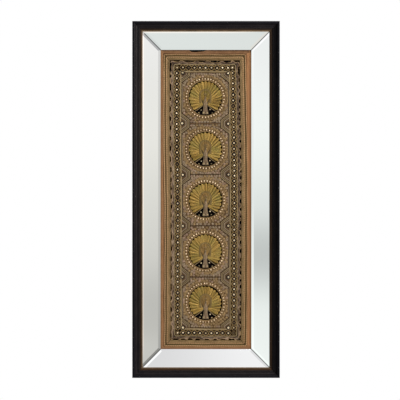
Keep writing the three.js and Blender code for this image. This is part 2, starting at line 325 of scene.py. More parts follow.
def colour(hex_value):
    """An sRGB hex colour as the linear one that the nodes take."""
    channels = [int(hex_value[i : i + 2], 16) / 255 for i in (1, 3, 5)]
    return (*[c / 12.92 if c <= 0.04045 else ((c + 0.055) / 1.055) ** 2.4 for c in channels], 1)


def feed(node, inputs):
    """Gives a node its inputs. Each is a value, an output, or a node, whose first output in use is meant."""
    for name, value in inputs.items():
        if isinstance(value, bpy.types.Node):
            value = next(output for output in value.outputs if output.enabled)
        if isinstance(value, bpy.types.NodeSocket):
            node.id_data.links.new(value, node.inputs[name])
        else:
            node.inputs[name].default_value = value


def add_node(tree, kind, inputs=None, **settings):
    """Adds one node with its settings and its inputs."""
    node = tree.nodes.new("ShaderNode" + kind)
    for name, value in settings.items():
        setattr(node, name, value)
    feed(node, inputs or {})
    return node


def new_surface(name):
    """A material, what adds a node to it, and its shader. Its patterns are in metres across the object."""
    material = bpy.data.materials.new(name)
    material.use_nodes = True
    material.node_tree.nodes.clear()
    add = partial(add_node, material.node_tree)
    shader = add("BsdfPrincipled")
    add("OutputMaterial", {"Surface": shader})
    return material, add, shader


def blend(add, first, second, value, start, end, low=0.0, high=1.0, ramp="LINEAR"):
    """A colour that goes from the first to the second as the value goes from start to end. Low and high are
    the shares of the second colour there."""
    ends = {"Value": value, "From Min": start, "From Max": end, "To Min": low, "To Max": high}
    share = add("MapRange", ends, interpolation_type=ramp)
    first, second = (colour(c) if isinstance(c, str) else c for c in (first, second))
    return add("Mix", {"Factor": share, "A": first, "B": second}, data_type="RGBA")


def darkened(add, clean, dark, own, most):
    """A piece's colour, which turns to its dark one as its own shade goes from 0 down to -1."""
    return blend(add, clean, dark, own, -1.0, 0.0, most, 0.0)


def on_frame(add, place_at):
    """Of a point of the frame its X and Z, how far they are from the middle, and how far in from the
    frame's edge the point is."""
    split = add("SeparateXYZ", {"Vector": place_at}).outputs
    off_middle = [add("Math", {0: split[axis]}, operation="ABSOLUTE") for axis in "XZ"]
    halves = zip((HALF_WIDTH, HALF_HEIGHT), off_middle)
    insets = [add("Math", {0: half * MM, 1: off}, operation="SUBTRACT") for half, off in halves]
    return split, off_middle, add("Math", dict(enumerate(insets)), operation="MINIMUM")


def wood_moulding(name, upright, body, worn, lit_and_worn, rough, gloss, lit_and_worn_at):
    """Moulding milled from close-grained wood, stained and waxed. The eye gets streaks along the length, a
    soft shine, and a lighter colour in a band in from the frame's edge: on the black moulding a painted
    highlight, on the brown slip partly wood that hands and cloths have worn and partly painted light."""
    material, add, shader = new_surface(name)
    place_at = add("TexCoord").outputs["Object"]
    inset = on_frame(add, place_at)[-1]
    along, across = 1 / (60 * MM), 1 / (1.6 * MM)
    scale = (across, across, along) if upright else (along, across, across)
    grain_at = add("Mapping", {"Vector": place_at, "Scale": scale})
    grain = add("TexNoise", {"Vector": grain_at, "Scale": 1.0, "Detail": 5.0, "Roughness": 0.6})
    patches = add("TexNoise", {"Vector": place_at, "Scale": 1 / (45 * MM), "Detail": 4.0})
    stained = blend(add, body, worn, grain, 0.35, 0.7)
    # A lighter band in from the frame's edge: a painted highlight on the black moulding, worn wood and
    # painted light on the slip.
    ends = {"Value": inset, "From Min": lit_and_worn_at[0] * MM, "From Max": lit_and_worn_at[1] * MM}
    lit_and_worn_share = add("MapRange", ends, interpolation_type="SMOOTHSTEP")
    uneven = add("MapRange", {"Value": patches, "From Min": 0.3, "From Max": 0.65, "To Min": 0.45})
    share = add("Math", {0: lit_and_worn_share, 1: uneven}, operation="MULTIPLY")
    tone = add("Mix", {"Factor": share, "A": stained, "B": colour(lit_and_worn)}, data_type="RGBA")
    roughness = add("MapRange", {"Value": patches, "To Min": rough - 0.1, "To Max": rough + 0.12})
    bump = add("Bump", {"Height": grain, "Strength": 0.35, "Distance": 0.25 * MM})
    feed(shader, {"Base Color": tone, "Roughness": roughness, "Normal": bump, "Specular IOR Level": gloss})
    return material


def bare_wood(name, tone, streak):
    """Planed softwood or pressed board, left bare at the back: pale, dry and evenly rough."""
    material, add, shader = new_surface(name)
    place_at = add("TexCoord").outputs["Object"]
    scale = (1 / (3 * MM), 1 / (3 * MM), 1 / (70 * MM))
    grain_at = add("Mapping", {"Vector": place_at, "Scale": scale})
    grain = add("TexNoise", {"Vector": grain_at, "Scale": 1.0, "Detail": 4.0})
    fibre = add("TexNoise", {"Vector": place_at, "Scale": 1 / (0.9 * MM), "Detail": 3.0})
    bump = add("Bump", {"Height": fibre, "Strength": 0.3, "Distance": 0.2 * MM})
    streaks = blend(add, tone, streak, grain, 0.0, 1.0)
    feed(shader, {"Base Color": streaks, "Normal": bump, "Roughness": 0.75})
    return material


def silvered_glass():
    """Silvered plate glass, bevelled and polished: a clear reflection, a little green and grey from the
    glass, barely hazed by old polish, and a thin grey line where two plates meet in a mitre. Beside the
    slip, most at the left and the top, a pale line is painted on the glass as a painted highlight."""
    material, add, shader = new_surface("silvered_plate_glass")
    place_at = add("TexCoord").outputs["Object"]
    split, (side_x, side_z), inset = on_frame(add, place_at)
    haze = add("TexNoise", {"Vector": place_at, "Scale": 1 / (90 * MM), "Detail": 3.0})
    wiped = add("MapRange", {"Value": haze, "To Min": 0.015, "To Max": 0.05})
    mitre_at = (HALF_HEIGHT - HALF_WIDTH) * MM
    past_square = add("Math", {0: side_z, 1: side_x}, operation="SUBTRACT")
    from_mitre = add("Math", {0: past_square, 1: mitre_at}, operation="SUBTRACT")
    off_mitre = add("Math", {0: from_mitre}, operation="ABSOLUTE")
    clear = blend(add, "#6f7472", "#e1e5e2", off_mitre, 1.2 * MM, 3.6 * MM, ramp="SMOOTHSTEP")
    # A pale line painted on the glass beside the slip, none on the right plate and little along the bottom:
    # a painted highlight.
    rim = {"Value": inset, "From Min": (SLIP_INNER + 2.5) * MM, "From Max": (SLIP_INNER + 6.5) * MM}
    painted_highlight_by_slip = add("MapRange", {**rim, "To Min": 1, "To Max": 0}, interpolation_type="SMOOTHSTEP")
    ends = {"Value": split["X"], "From Min": 0.1, "From Max": 0.2, "To Min": 1, "To Max": 0}
    share = add("Math", {0: painted_highlight_by_slip, 1: add("MapRange", ends)}, operation="MULTIPLY")
    ends = {"Value": split["Z"], "From Min": -0.6, "From Max": -0.55, "To Min": 0.1, "To Max": 1}
    share = add("Math", {0: share, 1: add("MapRange", ends)}, operation="MULTIPLY")
    seen = add("Mix", {"Factor": share, "A": clear, "B": colour("#fffaf2")}, data_type="RGBA")
    feed(shader, {"Base Color": seen, "Roughness": wiped, "Metallic": 1.0})
    return material


def fibre_thread(name, tones, patch, metal=0.0, rough=0.5):
    """Plied or wrapped thread, couched down. Tones are dark, middle and light. The eye gets slanting plies
    with painted shade in the grooves between, a change of tone from cord to cord, and broad faded patches. A
    shade below 0 darkens the thread towards its dark tone."""
    dark, middle, light = tones
    material, add, shader = new_surface(name)
    coords = add("TexCoord").outputs
    own = add("Attribute", attribute_name="shade").outputs["Fac"]
    faded = add("TexNoise", {"Vector": coords["Object"], "Scale": 1 / (patch * MM), "Detail": 3.0})
    fleck = add("TexNoise", {"Vector": coords["Object"], "Scale": 1 / (2.2 * MM), "Detail": 2.0})
    mottle = add("Math", {0: faded, 1: fleck}, operation="ADD")
    mixed = add("Math", {0: own, 1: 0.55, 2: mottle}, operation="MULTIPLY_ADD")
    tone = darkened(add, blend(add, middle, light, mixed, 0.75, 1.8), dark, own, 0.85)
    split = add("SeparateXYZ", {"Vector": coords["UV"]}).outputs
    slant = add("Math", {0: split["X"], 1: split["Y"]}, operation="ADD")
    turns = add("Math", {0: slant, 1: 2 * math.pi}, operation="MULTIPLY")
    plies = add("Math", {0: turns}, operation="SINE")
    # Dark in the grooves between the plies: painted shade.
    seen = blend(add, tone, dark, plies, -1.0, -0.2, 0.6, 0.0)
    bump = add("Bump", {"Height": plies, "Strength": 0.5, "Distance": 0.35 * MM})
    feed(shader, {"Base Color": seen, "Normal": bump, "Roughness": rough, "Metallic": metal})
    feed(shader, {"Specular IOR Level": 0.2, "Sheen Weight": 0.08, "Sheen Roughness": 0.4})
    return material


def couched_pad(name, tones, rows=1.3, metal=0.3, barbs=True, drift=None):
    """Metal thread laid side by side over padding, or without metal the felt or satin of a pad. Tones are
    dark, middle and light. The eye gets fine close rows with painted shade between them, so that each looks
    brighter along its crown, and with barbs they slant from the middle rib. Drift is a colour that it turns
    to in broad patches, as dye lots and tarnish do."""
    dark, middle, light = tones
    material, add, shader = new_surface(name)
    coords = add("TexCoord").outputs
    own = add("Attribute", attribute_name="shade").outputs["Fac"]
    split = add("SeparateXYZ", {"Vector": coords["UV"]}).outputs
    from_rib = add("Math", {0: split["X"]}, operation="ABSOLUTE")
    slope = -0.9 if barbs else 0.0
    slant = add("Math", {0: from_rib, 1: slope, 2: split["Y"]}, operation="MULTIPLY_ADD")
    turns = add("Math", {0: slant, 1: 2 * math.pi / rows}, operation="MULTIPLY")
    thread = add("Math", {0: turns}, operation="SINE")
    faded = add("TexNoise", {"Vector": coords["Object"], "Scale": 1 / (14 * MM), "Detail": 4.0})
    mixed = add("Math", {0: own, 1: faded}, operation="ADD")
    tone = blend(add, middle, light, mixed, 0.4, 1.5)
    if drift:
        broad = add("TexNoise", {"Vector": coords["Object"], "Scale": 1 / (34 * MM), "Detail": 2.0})
        tone = blend(add, tone, drift, broad, 0.4, 0.68, 0.0, 0.75)
    # Dark between the rows, so each is brighter along its crown: painted shade.
    seen = blend(add, darkened(add, tone, dark, own, 0.85), dark, thread, -1.0, 0.1, 0.7, 0.0)
    bump = add("Bump", {"Height": thread, "Strength": 0.6, "Distance": 0.3 * MM})
    feed(shader, {"Base Color": seen, "Normal": bump, "Metallic": metal})
    feed(shader, {"Roughness": 0.42, "Specular IOR Level": 0.2})
    return material


def woven_cloth(name, tones, faded, thread, slub=9.0, gloss=0.15, sheen=0.05):
    """Plain-woven cotton, dyed. Tones are dark, middle and light. The weave of 0.5 mm threads is drawn about
    twice as coarse, so that it shows: small over-and-under squares, those that dip under darkened as painted
    shade, with slubs and worn patches. Faded is its colour where the piece's shade is 1. A shade below 0
    darkens it towards its dark tone."""
    dark, middle, light = tones
    material, add, shader = new_surface(name)
    place_at = add("TexCoord").outputs["Object"]
    split = add("SeparateXYZ", {"Vector": place_at}).outputs
    weave = []
    for axis in "XZ":
        turns = add("Math", {0: split[axis], 1: math.pi / (thread * MM)}, operation="MULTIPLY")
        weave.append(add("Math", {0: turns}, operation="SINE"))
    weave = add("Math", dict(enumerate(weave)), operation="MULTIPLY")
    slubs = add("TexNoise", {"Vector": place_at, "Scale": 1 / (slub * MM), "Detail": 5.0, "Roughness": 0.65})
    own = add("Attribute", attribute_name="shade").outputs["Fac"]
    tone = blend(add, blend(add, middle, light, slubs, 0.35, 0.68), faded, own, 0.0, 1.0)
    # The squares that dip under are darker: painted shade.
    seen = blend(add, darkened(add, tone, dark, own, 0.8), dark, weave, -1.0, 0.0, 0.6, 0.0)
    bump = add("Bump", {"Height": weave, "Strength": 0.5, "Distance": 0.25 * MM})
    feed(shader, {"Base Color": seen, "Normal": bump, "Roughness": 0.85})
    feed(shader, {"Specular IOR Level": gloss, "Sheen Weight": sheen})
    return material


def polished(name, dark, light, metal, rough, coat=0.0):
    """Glass beads, or stamped and gilt brass sequins: small bright forms whose tone changes from one to
    the next, some tarnished."""
    material, add, shader = new_surface(name)
    own = add("Attribute", attribute_name="shade").outputs["Fac"]
    place_at = add("TexCoord").outputs["Object"]
    spots = add("TexNoise", {"Vector": place_at, "Scale": 1 / (2.5 * MM), "Detail": 3.0})
    mixed = add("Math", {0: own, 1: spots}, operation="ADD")
    worn = add("MapRange", {"Value": spots, "To Min": rough + 0.12, "To Max": rough - 0.05})
    feed(shader, {"Base Color": blend(add, dark, light, mixed, 0.3, 1.1), "Roughness": worn})
    feed(shader, {"Metallic": metal, "Coat Weight": coat})
    return material


# ---- The frame, the mirror and the back ---------------------------------------------------------------

RAIL_INNER = HALF_WIDTH + box_mm("rail_left")[1].x  # width of the black moulding
SLIP_INNER = HALF_WIDTH + box_mm("slip_left")[1].x  # and of the moulding with its brown slip
HIGHLIGHT_FROM, HIGHLIGHT_FULL_AT = 7, 14  # how far in from the frame's edge the black moulding turns from its stain to a lighter colour, a painted highlight
# Where the slip starts to turn lighter towards the glass: partly worn wood, partly painted light.
SLIP_WEAR_AND_LIGHT_FROM = RAIL_INNER + 5


def finish_frame():
    """Each side of the frame gets its own copy of the two finishes, lighter or darker by how the light falls
    on that side: painted light and shade. The rest of the frame is glass and bare wood.
    """
    black = {"body": "#09090d", "worn": "#15151b", "lit_and_worn": "#211e1f", "rough": 0.34, "gloss": 0.06}
    shaded_black = {**black, "body": "#060609", "worn": "#0e0e12", "lit_and_worn": "#161414", "gloss": 0.03}
    brown = {"body": "#1e140c", "worn": "#32251a", "lit_and_worn": "#77634b", "rough": 0.42, "gloss": 0.08}
    # Lit and shaded copies of the finishes, one for each way a side faces: the bottom slip lighter all over
    # and the top slip lighter by the glass, as painted light, and the right rail and slip darker, as painted
    # shade.
    sides = {
        "level": (black, {**brown, "body": "#2c1c10", "worn": "#402c1b"}),
        "top": (black, {**brown, "lit_and_worn": "#a98f6e"}),  # its slip much lighter towards the glass: painted light
        "upright": (black, brown),
        "right": (shaded_black, {**brown, "lit_and_worn": "#4a3c2f", "gloss": 0.04}),  # rail and slip darker and duller: painted shade
    }
    finishes = {}
    for way, (dark, warm) in sides.items():
        upright = way in ("upright", "right")
        rail_highlight, slip_wear_and_light = (HIGHLIGHT_FROM, HIGHLIGHT_FULL_AT), (SLIP_WEAR_AND_LIGHT_FROM, SLIP_INNER)
        finishes["rail", way] = wood_moulding(f"ebonised_wood_{way}", upright, lit_and_worn_at=rail_highlight, **dark)
        finishes["slip", way] = wood_moulding(f"lit_and_worn_brown_wood_{way}", upright, lit_and_worn_at=slip_wear_and_light, **warm)
    plain = {
        "liner": bare_wood("planed_softwood", "#b99c72", "#9c7d54"),
        "back": bare_wood("pressed_fibre_board", "#8a6a48", "#775a3b"),
        "mirror": silvered_glass(),
    }
    for name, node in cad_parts.items():
        kind, side = name.split("_", 1)
        way = {"left": "upright", "right": "right", "top": "top"}.get(side, "level")
        surface = plain.get(kind) or finishes.get((kind, way))
        if surface:
            node.data.materials.clear()
            node.data.materials.append(surface)


finish_frame()


# ---- Ground cloth, binding and braid ------------------------------------------------------------------

GROUND_TONES = ("#020101", "#050303", "#0b0806")
DYED_GROUND = woven_cloth("black_cotton_ground", GROUND_TONES, "#66503a", 1.1, gloss=0.02, sheen=0.0)
TAPE_TONES = ("#4a321f", "#795739", "#8c6848")
RUST_TAPE = woven_cloth("rust_cotton_tape", TAPE_TONES, "#ab7b52", 1.3, slub=14)
GOLD_BRAID = fibre_thread("tarnished_gold_braid", ("#42301c", "#97764e", "#b7946a"), metal=0.2, patch=60)
OLIVE_CORD = fibre_thread("olive_cotton_cord", ("#2a200c", "#58471f", "#735d31"), patch=50)
OLIVE_GOLD_CORD = fibre_thread("olive_gold_cord", ("#2a1f0d", "#715932", "#987e52"), metal=0.2, patch=40)
TAN_CORD = fibre_thread("tan_cotton_cord", ("#3c2c19", "#846a42", "#b99a6a"), patch=46)
TAUPE_CORD = fibre_thread("faded_taupe_cord", ("#30241a", "#77624a", "#bba686"), patch=30)
PINK_CORD = fibre_thread("faded_pink_cord", ("#3a281e", "#7f664c", "#bfa187"), patch=30)
PALE_CORD = fibre_thread("pale_gold_cord", ("#4c3d26", "#937c54", "#bca87e"), 34, metal=0.25, rough=0.42)
DARK_CORD_THREAD = fibre_thread("dark_brown_cord", ("#0e0905", "#251a10", "#3c2b1a"), patch=40)

CLOTH_AND_LINING = 2.0  # how thick they are together
DYED_NEAR_BIRD = 74  # the field has faded further out than this from the middle of each medallion


def lay_ground():
    """The cloth, stretched flat on its board: nearly level, with a few weak ripples from the sewing."""
    work = Work()
    columns = np.linspace(-CLOTH_HALF_X, CLOTH_HALF_X, 53)
    rows = np.linspace(-CLOTH_HALF_Z, CLOTH_HALF_Z, 167)
    x, z = np.meshgrid(columns, rows)
    height = 0.12 * np.sin(x / 31 + z / 90) * np.sin(z / 47) - 0.1
    field = (np.abs(x) < SIGHT_X - FIELD_LINE) & (np.abs(z) < SIGHT_Z - FIELD_LINE)
    from_bird = np.min([np.hypot(x, z - c) for c in CENTRES.values()], axis=0)
    faded = np.where(field & (from_bird > DYED_NEAR_BIRD), 1.0, 0.0)
    lay_patch(work, x, z, height, foot=-CLOTH_AND_LINING, shade=faded)
    cloth = work.make("ground_cloth_sewn", DYED_GROUND, "ground_cloth", ["ground_cloth"])


BINDING_WIDTH = {"top": 21.0, "left": 19.5, "bottom": 19.5, "right": 22.5}
TAPE_LIGHTNESS = {"top": -0.05, "left": 0.3, "bottom": 0.3, "right": 1.0}  # how far each tape's colour goes towards its faded one: the right tape is made lightest, as painted light where it lies in shade, and the top one darkest
UNDER_LINER = 8  # how much of the tape's width the liner hides
GAP_AT, GAP_HALF, GAP_DEPTH = -31, 36, 15  # where the top tape's edge is drawn in from the liner, so that the black ground shows as a painted shadow of the frame's edge


def lay_binding(side):
    """A tape turned under at both edges and sewn on, a little puckered between its stitches."""
    low, high = box_mm(f"binding_{side}")
    upright = side in ("left", "right")
    length = (high.z - low.z) if upright else (high.x - low.x)
    along = np.linspace(-length / 2, length / 2, int(length / 5) + 1)
    across = np.linspace(0, 1, 8)
    a, u = np.meshgrid(along, across, indexing="ij")
    pucker = 0.1 * np.sin(a / 1.9) * u + 0.12 * np.sin(a / 13 + 2 * u)
    height = 0.55 + 0.75 * np.sqrt(np.clip(1 - (2 * u - 1) ** 4, 0, 1)) + pucker
    edge = 0.4 * np.sin(a / 37 + length) + 0.25 * np.sin(a / 11)
    inner = BINDING_WIDTH[side] - 0.3 + edge
    inset = u * inner - UNDER_LINER
    if side == "top":  # in the gap the black ground shows, standing for the frame's shadow: a painted shadow
        stand_off = np.exp(-(((a - GAP_AT) / GAP_HALF) ** 6)) * (GAP_DEPTH - 0.06 * (a - GAP_AT))
        inset = inset + stand_off * (1 - u) ** 0.7
    sign = -1 if side in ("left", "bottom") else 1
    x, z = (sign * (SIGHT_X - inset), a) if upright else (a, sign * (SIGHT_Z - inset))
    if side in ("right", "bottom"):  # turned about, so that it too faces the viewer
        x, z, height = x[:, ::-1], z[:, ::-1], height[:, ::-1]
    # Each side's own lightness; on the right tape it is painted light.
    tone = TAPE_LIGHTNESS[side] + 0.25 * np.cos(2 * np.pi * u)
    if side == "top":  # right of the gap its outer edge is darker: painted shadow of the frame's edge
        tone = tone - 0.9 * np.clip(a / 30, 0, 1) * (1 - u)
    work = Work()
    lay_patch(work, x, z, height, foot=0.02, shade=tone)
    tape = work.make(f"binding_tape_{side}", RUST_TAPE, "rust_binding", [f"binding_{side}"])


def tone_by_side(path, left, right, top, bottom):
    """A tone for each point of a path, by the side of the border that it runs on. Each of the four sides is
    set lighter or darker on its own."""
    upright = np.abs(path[:, 1]) < SIGHT_Z - FIELD_LINE
    sides = [upright & (path[:, 0] < 0), upright, path[:, 1] > 0]
    return np.select(sides, [left, right, top], bottom)


def patchy(path, step):
    """A tone between -1 and 1 that changes along a closed path about once in each step of millimetres."""
    along = length_along(path)
    count = max(3, round(along[-1] / step))
    tones = rng.uniform(-1, 1, count)
    return np.interp(along / along[-1] * count, np.arange(count + 1), [*tones, tones[0]])


def lay_all_round(work, inset, corner, width, tones, patches, step=2.1, **cord):
    """A cord all round the cloth at one inset. Tones are its shades at the left, right, top and bottom.
    Patches are how strongly its shade changes along it, and after how many millimetres."""
    path = frame_loop(inset, corner, step)
    strength, length = patches
    shade = tone_by_side(path, *tones) + strength * patchy(path, length)
    lay_cord(work, path, width, closed=True, shade=shade, **cord)


def lay_braid():
    """Three fat twisted cords side by side, the middle one olive, all round the cloth inside the binding."""
    threads = (
        ("outer", GOLD_BRAID, ("left", "right"), (0.8, -0.15, -0.1, 0.5)),
        ("middle", OLIVE_CORD, (), (0.7, 0.6, 0.9, 0.5)),
        ("inner", GOLD_BRAID, ("top", "bottom"), (0.5, 0.1, 0.45, 0.0)),
    )
    fat = {"rise": 0.55, "sides": 7, "twist": 0.1, "ply": 7.0}
    for (inset, width), (name, thread, nodes, tones) in zip(BRAID, threads):
        work = Work()
        lay_all_round(work, inset, 2.5, width, tones, (0.15, 24), step=1.7, **fat)
        work.make(f"braid_{name}_cord", thread, "gold_braid", [f"braid_{n}" for n in nodes])


def lay_border_cords():
    """The rows of single cords between the braid and the meander."""
    work = Work()
    for inset, shade in zip(TAN_CORDS, (0.3, 0.0, -0.1)):
        tones = [shade + by_side for by_side in (0.05, -0.1, -0.25, -0.1)]
        lay_all_round(work, inset, 4, 3.1, tones, (0.3, 13), rise=0.7, ply=5.5, twist=0.07)
    work.make("tan_border_cords", TAN_CORD, "gold_braid")


# How long the black slits are on each side of the border, the closed stretches between them, and how wide
# the slits are.
SLITS = {
    "left": ((17, 31), (11, 21), 5.0),
    "right": ((10, 20), (8, 16), 6.4),
    "top": ((24, 52), (6, 14), 6.4),
    "bottom": ((18, 31), (7, 14), 5.0),
}


def uneven_swing(loop):
    """How far the meander's outer cord has drawn inwards, away from its neighbour: in each slit by another
    amount, and between the slits hardly at all."""
    along = length_along(np.vstack([loop, loop[:1]]))
    total, along = along[-1], along[:-1]
    ends, sway = [0.0], []
    while ends[-1] < total:
        x, z = loop[np.searchsorted(along, ends[-1]) % len(loop)]
        if abs(z) < SIGHT_Z - FIELD_LINE:
            slit, closed, wide = SLITS["left" if x < 0 else "right"]
        else:
            slit, closed, wide = SLITS["top" if z > 0 else "bottom"]
        ends.append(ends[-1] + rng.uniform(*slit))
        sway.append(wide + rng.choice([-1, 0, 1]))
        ends.append(ends[-1] + rng.uniform(*closed))
        sway.append(rng.choice([-0.3, 0.2, 0.8]))
    ends = np.array(ends) * total / ends[-1]
    which = np.clip(np.searchsorted(ends, along, side="right") - 1, 0, len(sway) - 1)
    part = (along - ends[which]) / (ends[which + 1] - ends[which])
    return np.array(sway)[which] * np.tanh(2.6 * np.sin(np.pi * part))


# How light each of the meander's cords is, at the left, the right, the top and the bottom.
ROW_TONES = (
    (0.1, -0.3, -0.2, 0.1),
    (0.1, -0.5, -0.6, 0),
    (0, -0.8, -1.0, -0.1),
    (0, -0.9, -0.9, -0.9),
    (0, -0.6, -0.6, -0.4),
)


def lay_meander():
    """Five cords side by side that draw inwards now and then, and leave slits in which the ground shows
    black. The nearer to the middle, the less a cord follows. Dark stitches hold them down."""
    loop = frame_loop(MEANDER[0], 7, 2.1)
    swing = uneven_swing(loop)
    taupe, pink, tan, edge = Work(), Work(), Work(), Work()
    rows = ((tan, 1.0), (pink, 0.7), (taupe, 0.45), (pink, 0.2), (taupe, 0.05))
    inwards = sideways(loop, True)
    for k, (inset, (work, follows)) in enumerate(zip(MEANDER, rows)):
        waver = 0.35 * patchy(loop, 11)
        path = loop + inwards * (inset - MEANDER[0] + follows * swing + waver)[:, None]
        tones = tone_by_side(loop, *ROW_TONES[k]) + 1.4 * patchy(loop, 6 + k)
        lay_cord(work, path, 2.7, closed=True, sides=5, ply=4.6, twist=0.14, shade=tones)
    for k in np.flatnonzero(swing > 2.5)[::4]:
        if rng.random() < 0.3:
            x, z = loop[k] + inwards[k] * rng.uniform(0, 2)
            half = rng.uniform(0.8, 1.4)
            strand = rng.choice([taupe, pink, tan])
            lay_bead(strand, x, z, (half * 1.2, half, 0.9), turn=rng.uniform(0, 180))
    stitches = Work()
    often = tone_by_side(loop, 0.35, 0.8, 0.5, 0.55)
    for k in range(0, len(loop), 3):
        if rng.random() < often[k]:
            x, z = loop[k] + inwards[k] * rng.uniform(max(swing[k], 1), 12.5)
            size = (rng.uniform(1.2, 2.4), rng.uniform(0.7, 1.1), 0.9)
            lay_bead(stitches, x, z, size, turn=rng.uniform(0, 180), lift=1.0)
    lay_all_round(edge, MEANDER_LINE, 6, 2.7, (0.4, 0.1, 0.6, 0.1), (0.4, 16), ply=4.4, twist=0.06)
    stitches.make("meander_dark_stitches", DARK_CORD_THREAD, "gold_braid")
    edge.make("meander_edge_cord", PALE_CORD, "gold_braid")
    taupe.make("meander_taupe_cords", TAUPE_CORD, "gold_braid")
    pink.make("meander_pink_cords", PINK_CORD, "gold_braid")
    tan.make("meander_tan_cord", TAN_CORD, "gold_braid")


SEQUIN = polished("stamped_brass_sequins", "#9f8654", "#f3dfb6", metal=0.6, rough=0.34)
GLASS_BEAD = polished("old_gold_glass_beads", "#b08f60", "#f4dcb2", metal=0.3, rough=0.3, coat=0.3)

SEAT_RADIUS = 6.8
BOW, BOW_SWING = 7.6, 3.6  # how far the two cords run from the row's middle, and how much that changes
MORE_ON_RIGHT = 2  # the sewer set them a little closer there
LOST = {0: (0, 2, 42), 1: (8,), 2: (17, 23), 3: ()}  # sequins that have come off, by side


def lay_sequin_row():
    """Sequins at even steps, each on a dark seat, with two cords that close in between them and bow round
    them, and a line of cord along each side of the row."""
    x, z = SIGHT_X - SEQUIN_ROW, SIGHT_Z - SEQUIN_ROW
    corners = [(x, -z), (x, z), (-x, z), (-x, -z)]
    cords, sequins, beads, seats = Work(), Work(), Work(), Work()
    for k, start in enumerate(corners):
        start, end = np.array(start, float), np.array(corners[(k + 1) % 4], float)
        length = np.linalg.norm(end - start)
        count = round(length / SEQUIN_PITCH) + (MORE_ON_RIGHT if k == 0 else 0)
        pitch = length / count
        ahead = (end - start) / length
        left = np.array([-ahead[1], ahead[0]])
        s = np.linspace(pitch / 2, length - pitch / 2, int((length - pitch) / 1.5))
        for way in (1, -1):
            uneven = np.interp(s, pitch * np.arange(count + 1), rng.uniform(0.84, 1.12, count + 1))
            bow = way * uneven * (BOW + BOW_SWING * np.cos(2 * np.pi * s / pitch))
            path = start + s[:, None] * ahead + bow[:, None] * left
            lay_cord(cords, path, 3.4, lift=0.5, sides=5, ply=4.2, shade=0.9)
        for i in range(count):
            at = start + i * pitch * ahead
            flat = (SEAT_RADIUS, SEAT_RADIUS, 0.3)
            lay_bead(seats, *at, flat, sides=12, shade=-0.1 - 0.5 * rng.random())
            if i not in LOST[k]:
                size = SEQUIN_RADIUS * rng.uniform(0.88, 1.02)
                lay_sequin(sequins, *(at + rng.uniform(-0.7, 0.7, 2)), size, lift=0.6, sides=16)
            else:  # the knot of thread that held the lost sequin
                lay_bead(cords, *at, (2.6, 2.2, 0.8), lift=0.5, shade=0.6)
            between = start + (i + 0.5) * pitch * ahead
            lay_bead(cords, *between, (1.9, 1.9, 0.8), lift=0.4, shade=0.0)
            if rng.random() < 0.3:
                astray = between + rng.uniform(-2.5, 2.5) * left
                lay_bead(beads, *astray, (1.3, 1.3, 1.1), lift=2.2, shade=0)
        lay_cord(cords, circle(*start, 6.6, step=1.5), 2.1, lift=0.4, closed=True, sides=5, shade=0.2)
    for inset, shade in ((SEQUIN_ROW - 8.9, -1.0), (SEQUIN_ROW + 9.3, -0.7)):
        lay_all_round(cords, inset, 6, 1.9, [shade] * 4, (0.3, 13), sides=5, ply=4.4)
    seats.make("sequin_seats", DARK_CORD_THREAD, "gold_braid")
    cords.make("sequin_row_cords", OLIVE_GOLD_CORD, "gold_braid")
    sequins.make("border_sequins", SEQUIN, "beads")
    beads.make("border_seed_beads", GLASS_BEAD, "beads")


# ---- The field between the medallions ------------------------------------------------------------------

# The levels of the lines between the medallions and at the field's two ends.
LEVELS = sorted({round(c + k * PITCH / 2, 3) for c in CENTRES.values() for k in (-1, 1)})
OUTER_LEVEL = max(LEVELS)
CORNER_WIDE, CORNER_TALL, CORNER_BLUNT = 33, 42, 16  # a half hexagon beside the field, between medallions
FIELD_SIDE = SIGHT_X - FIELD_LINE
DOUBLED = len(LEVELS) - 2  # the one line between medallions that the sewer made double
HEXAGON_CORDS = (  # the cords of a half hexagon from the outside in: size, which thread, and how light
    (1.0, "dark", -0.3),
    (0.91, "pale", 0.2),
    (0.83, "taupe", -0.7),
    (0.75, "pale", 0.1),
    (0.67, "dark", 0.4),
    (0.59, "taupe", 0.8),
    (0.51, "taupe", -0.2),
)


def half_hexagon(level, side, share):
    """The path of one cord of a half hexagon. At the two ends of the field only its inward arm is there."""
    outer = side * (FIELD_SIDE - 2)
    inner = outer - side * CORNER_WIDE * share
    tall, blunt = CORNER_TALL * share, CORNER_BLUNT * share
    path = [(outer, level + tall), (inner, level + blunt), (inner, level - blunt), (outer, level - tall)]
    if level == OUTER_LEVEL:
        path = [(inner, level - 2), *path[2:]]
    elif level == -OUTER_LEVEL:
        path = [*path[:2], (inner, level + 2)]
    return spaced(path, 1.8)


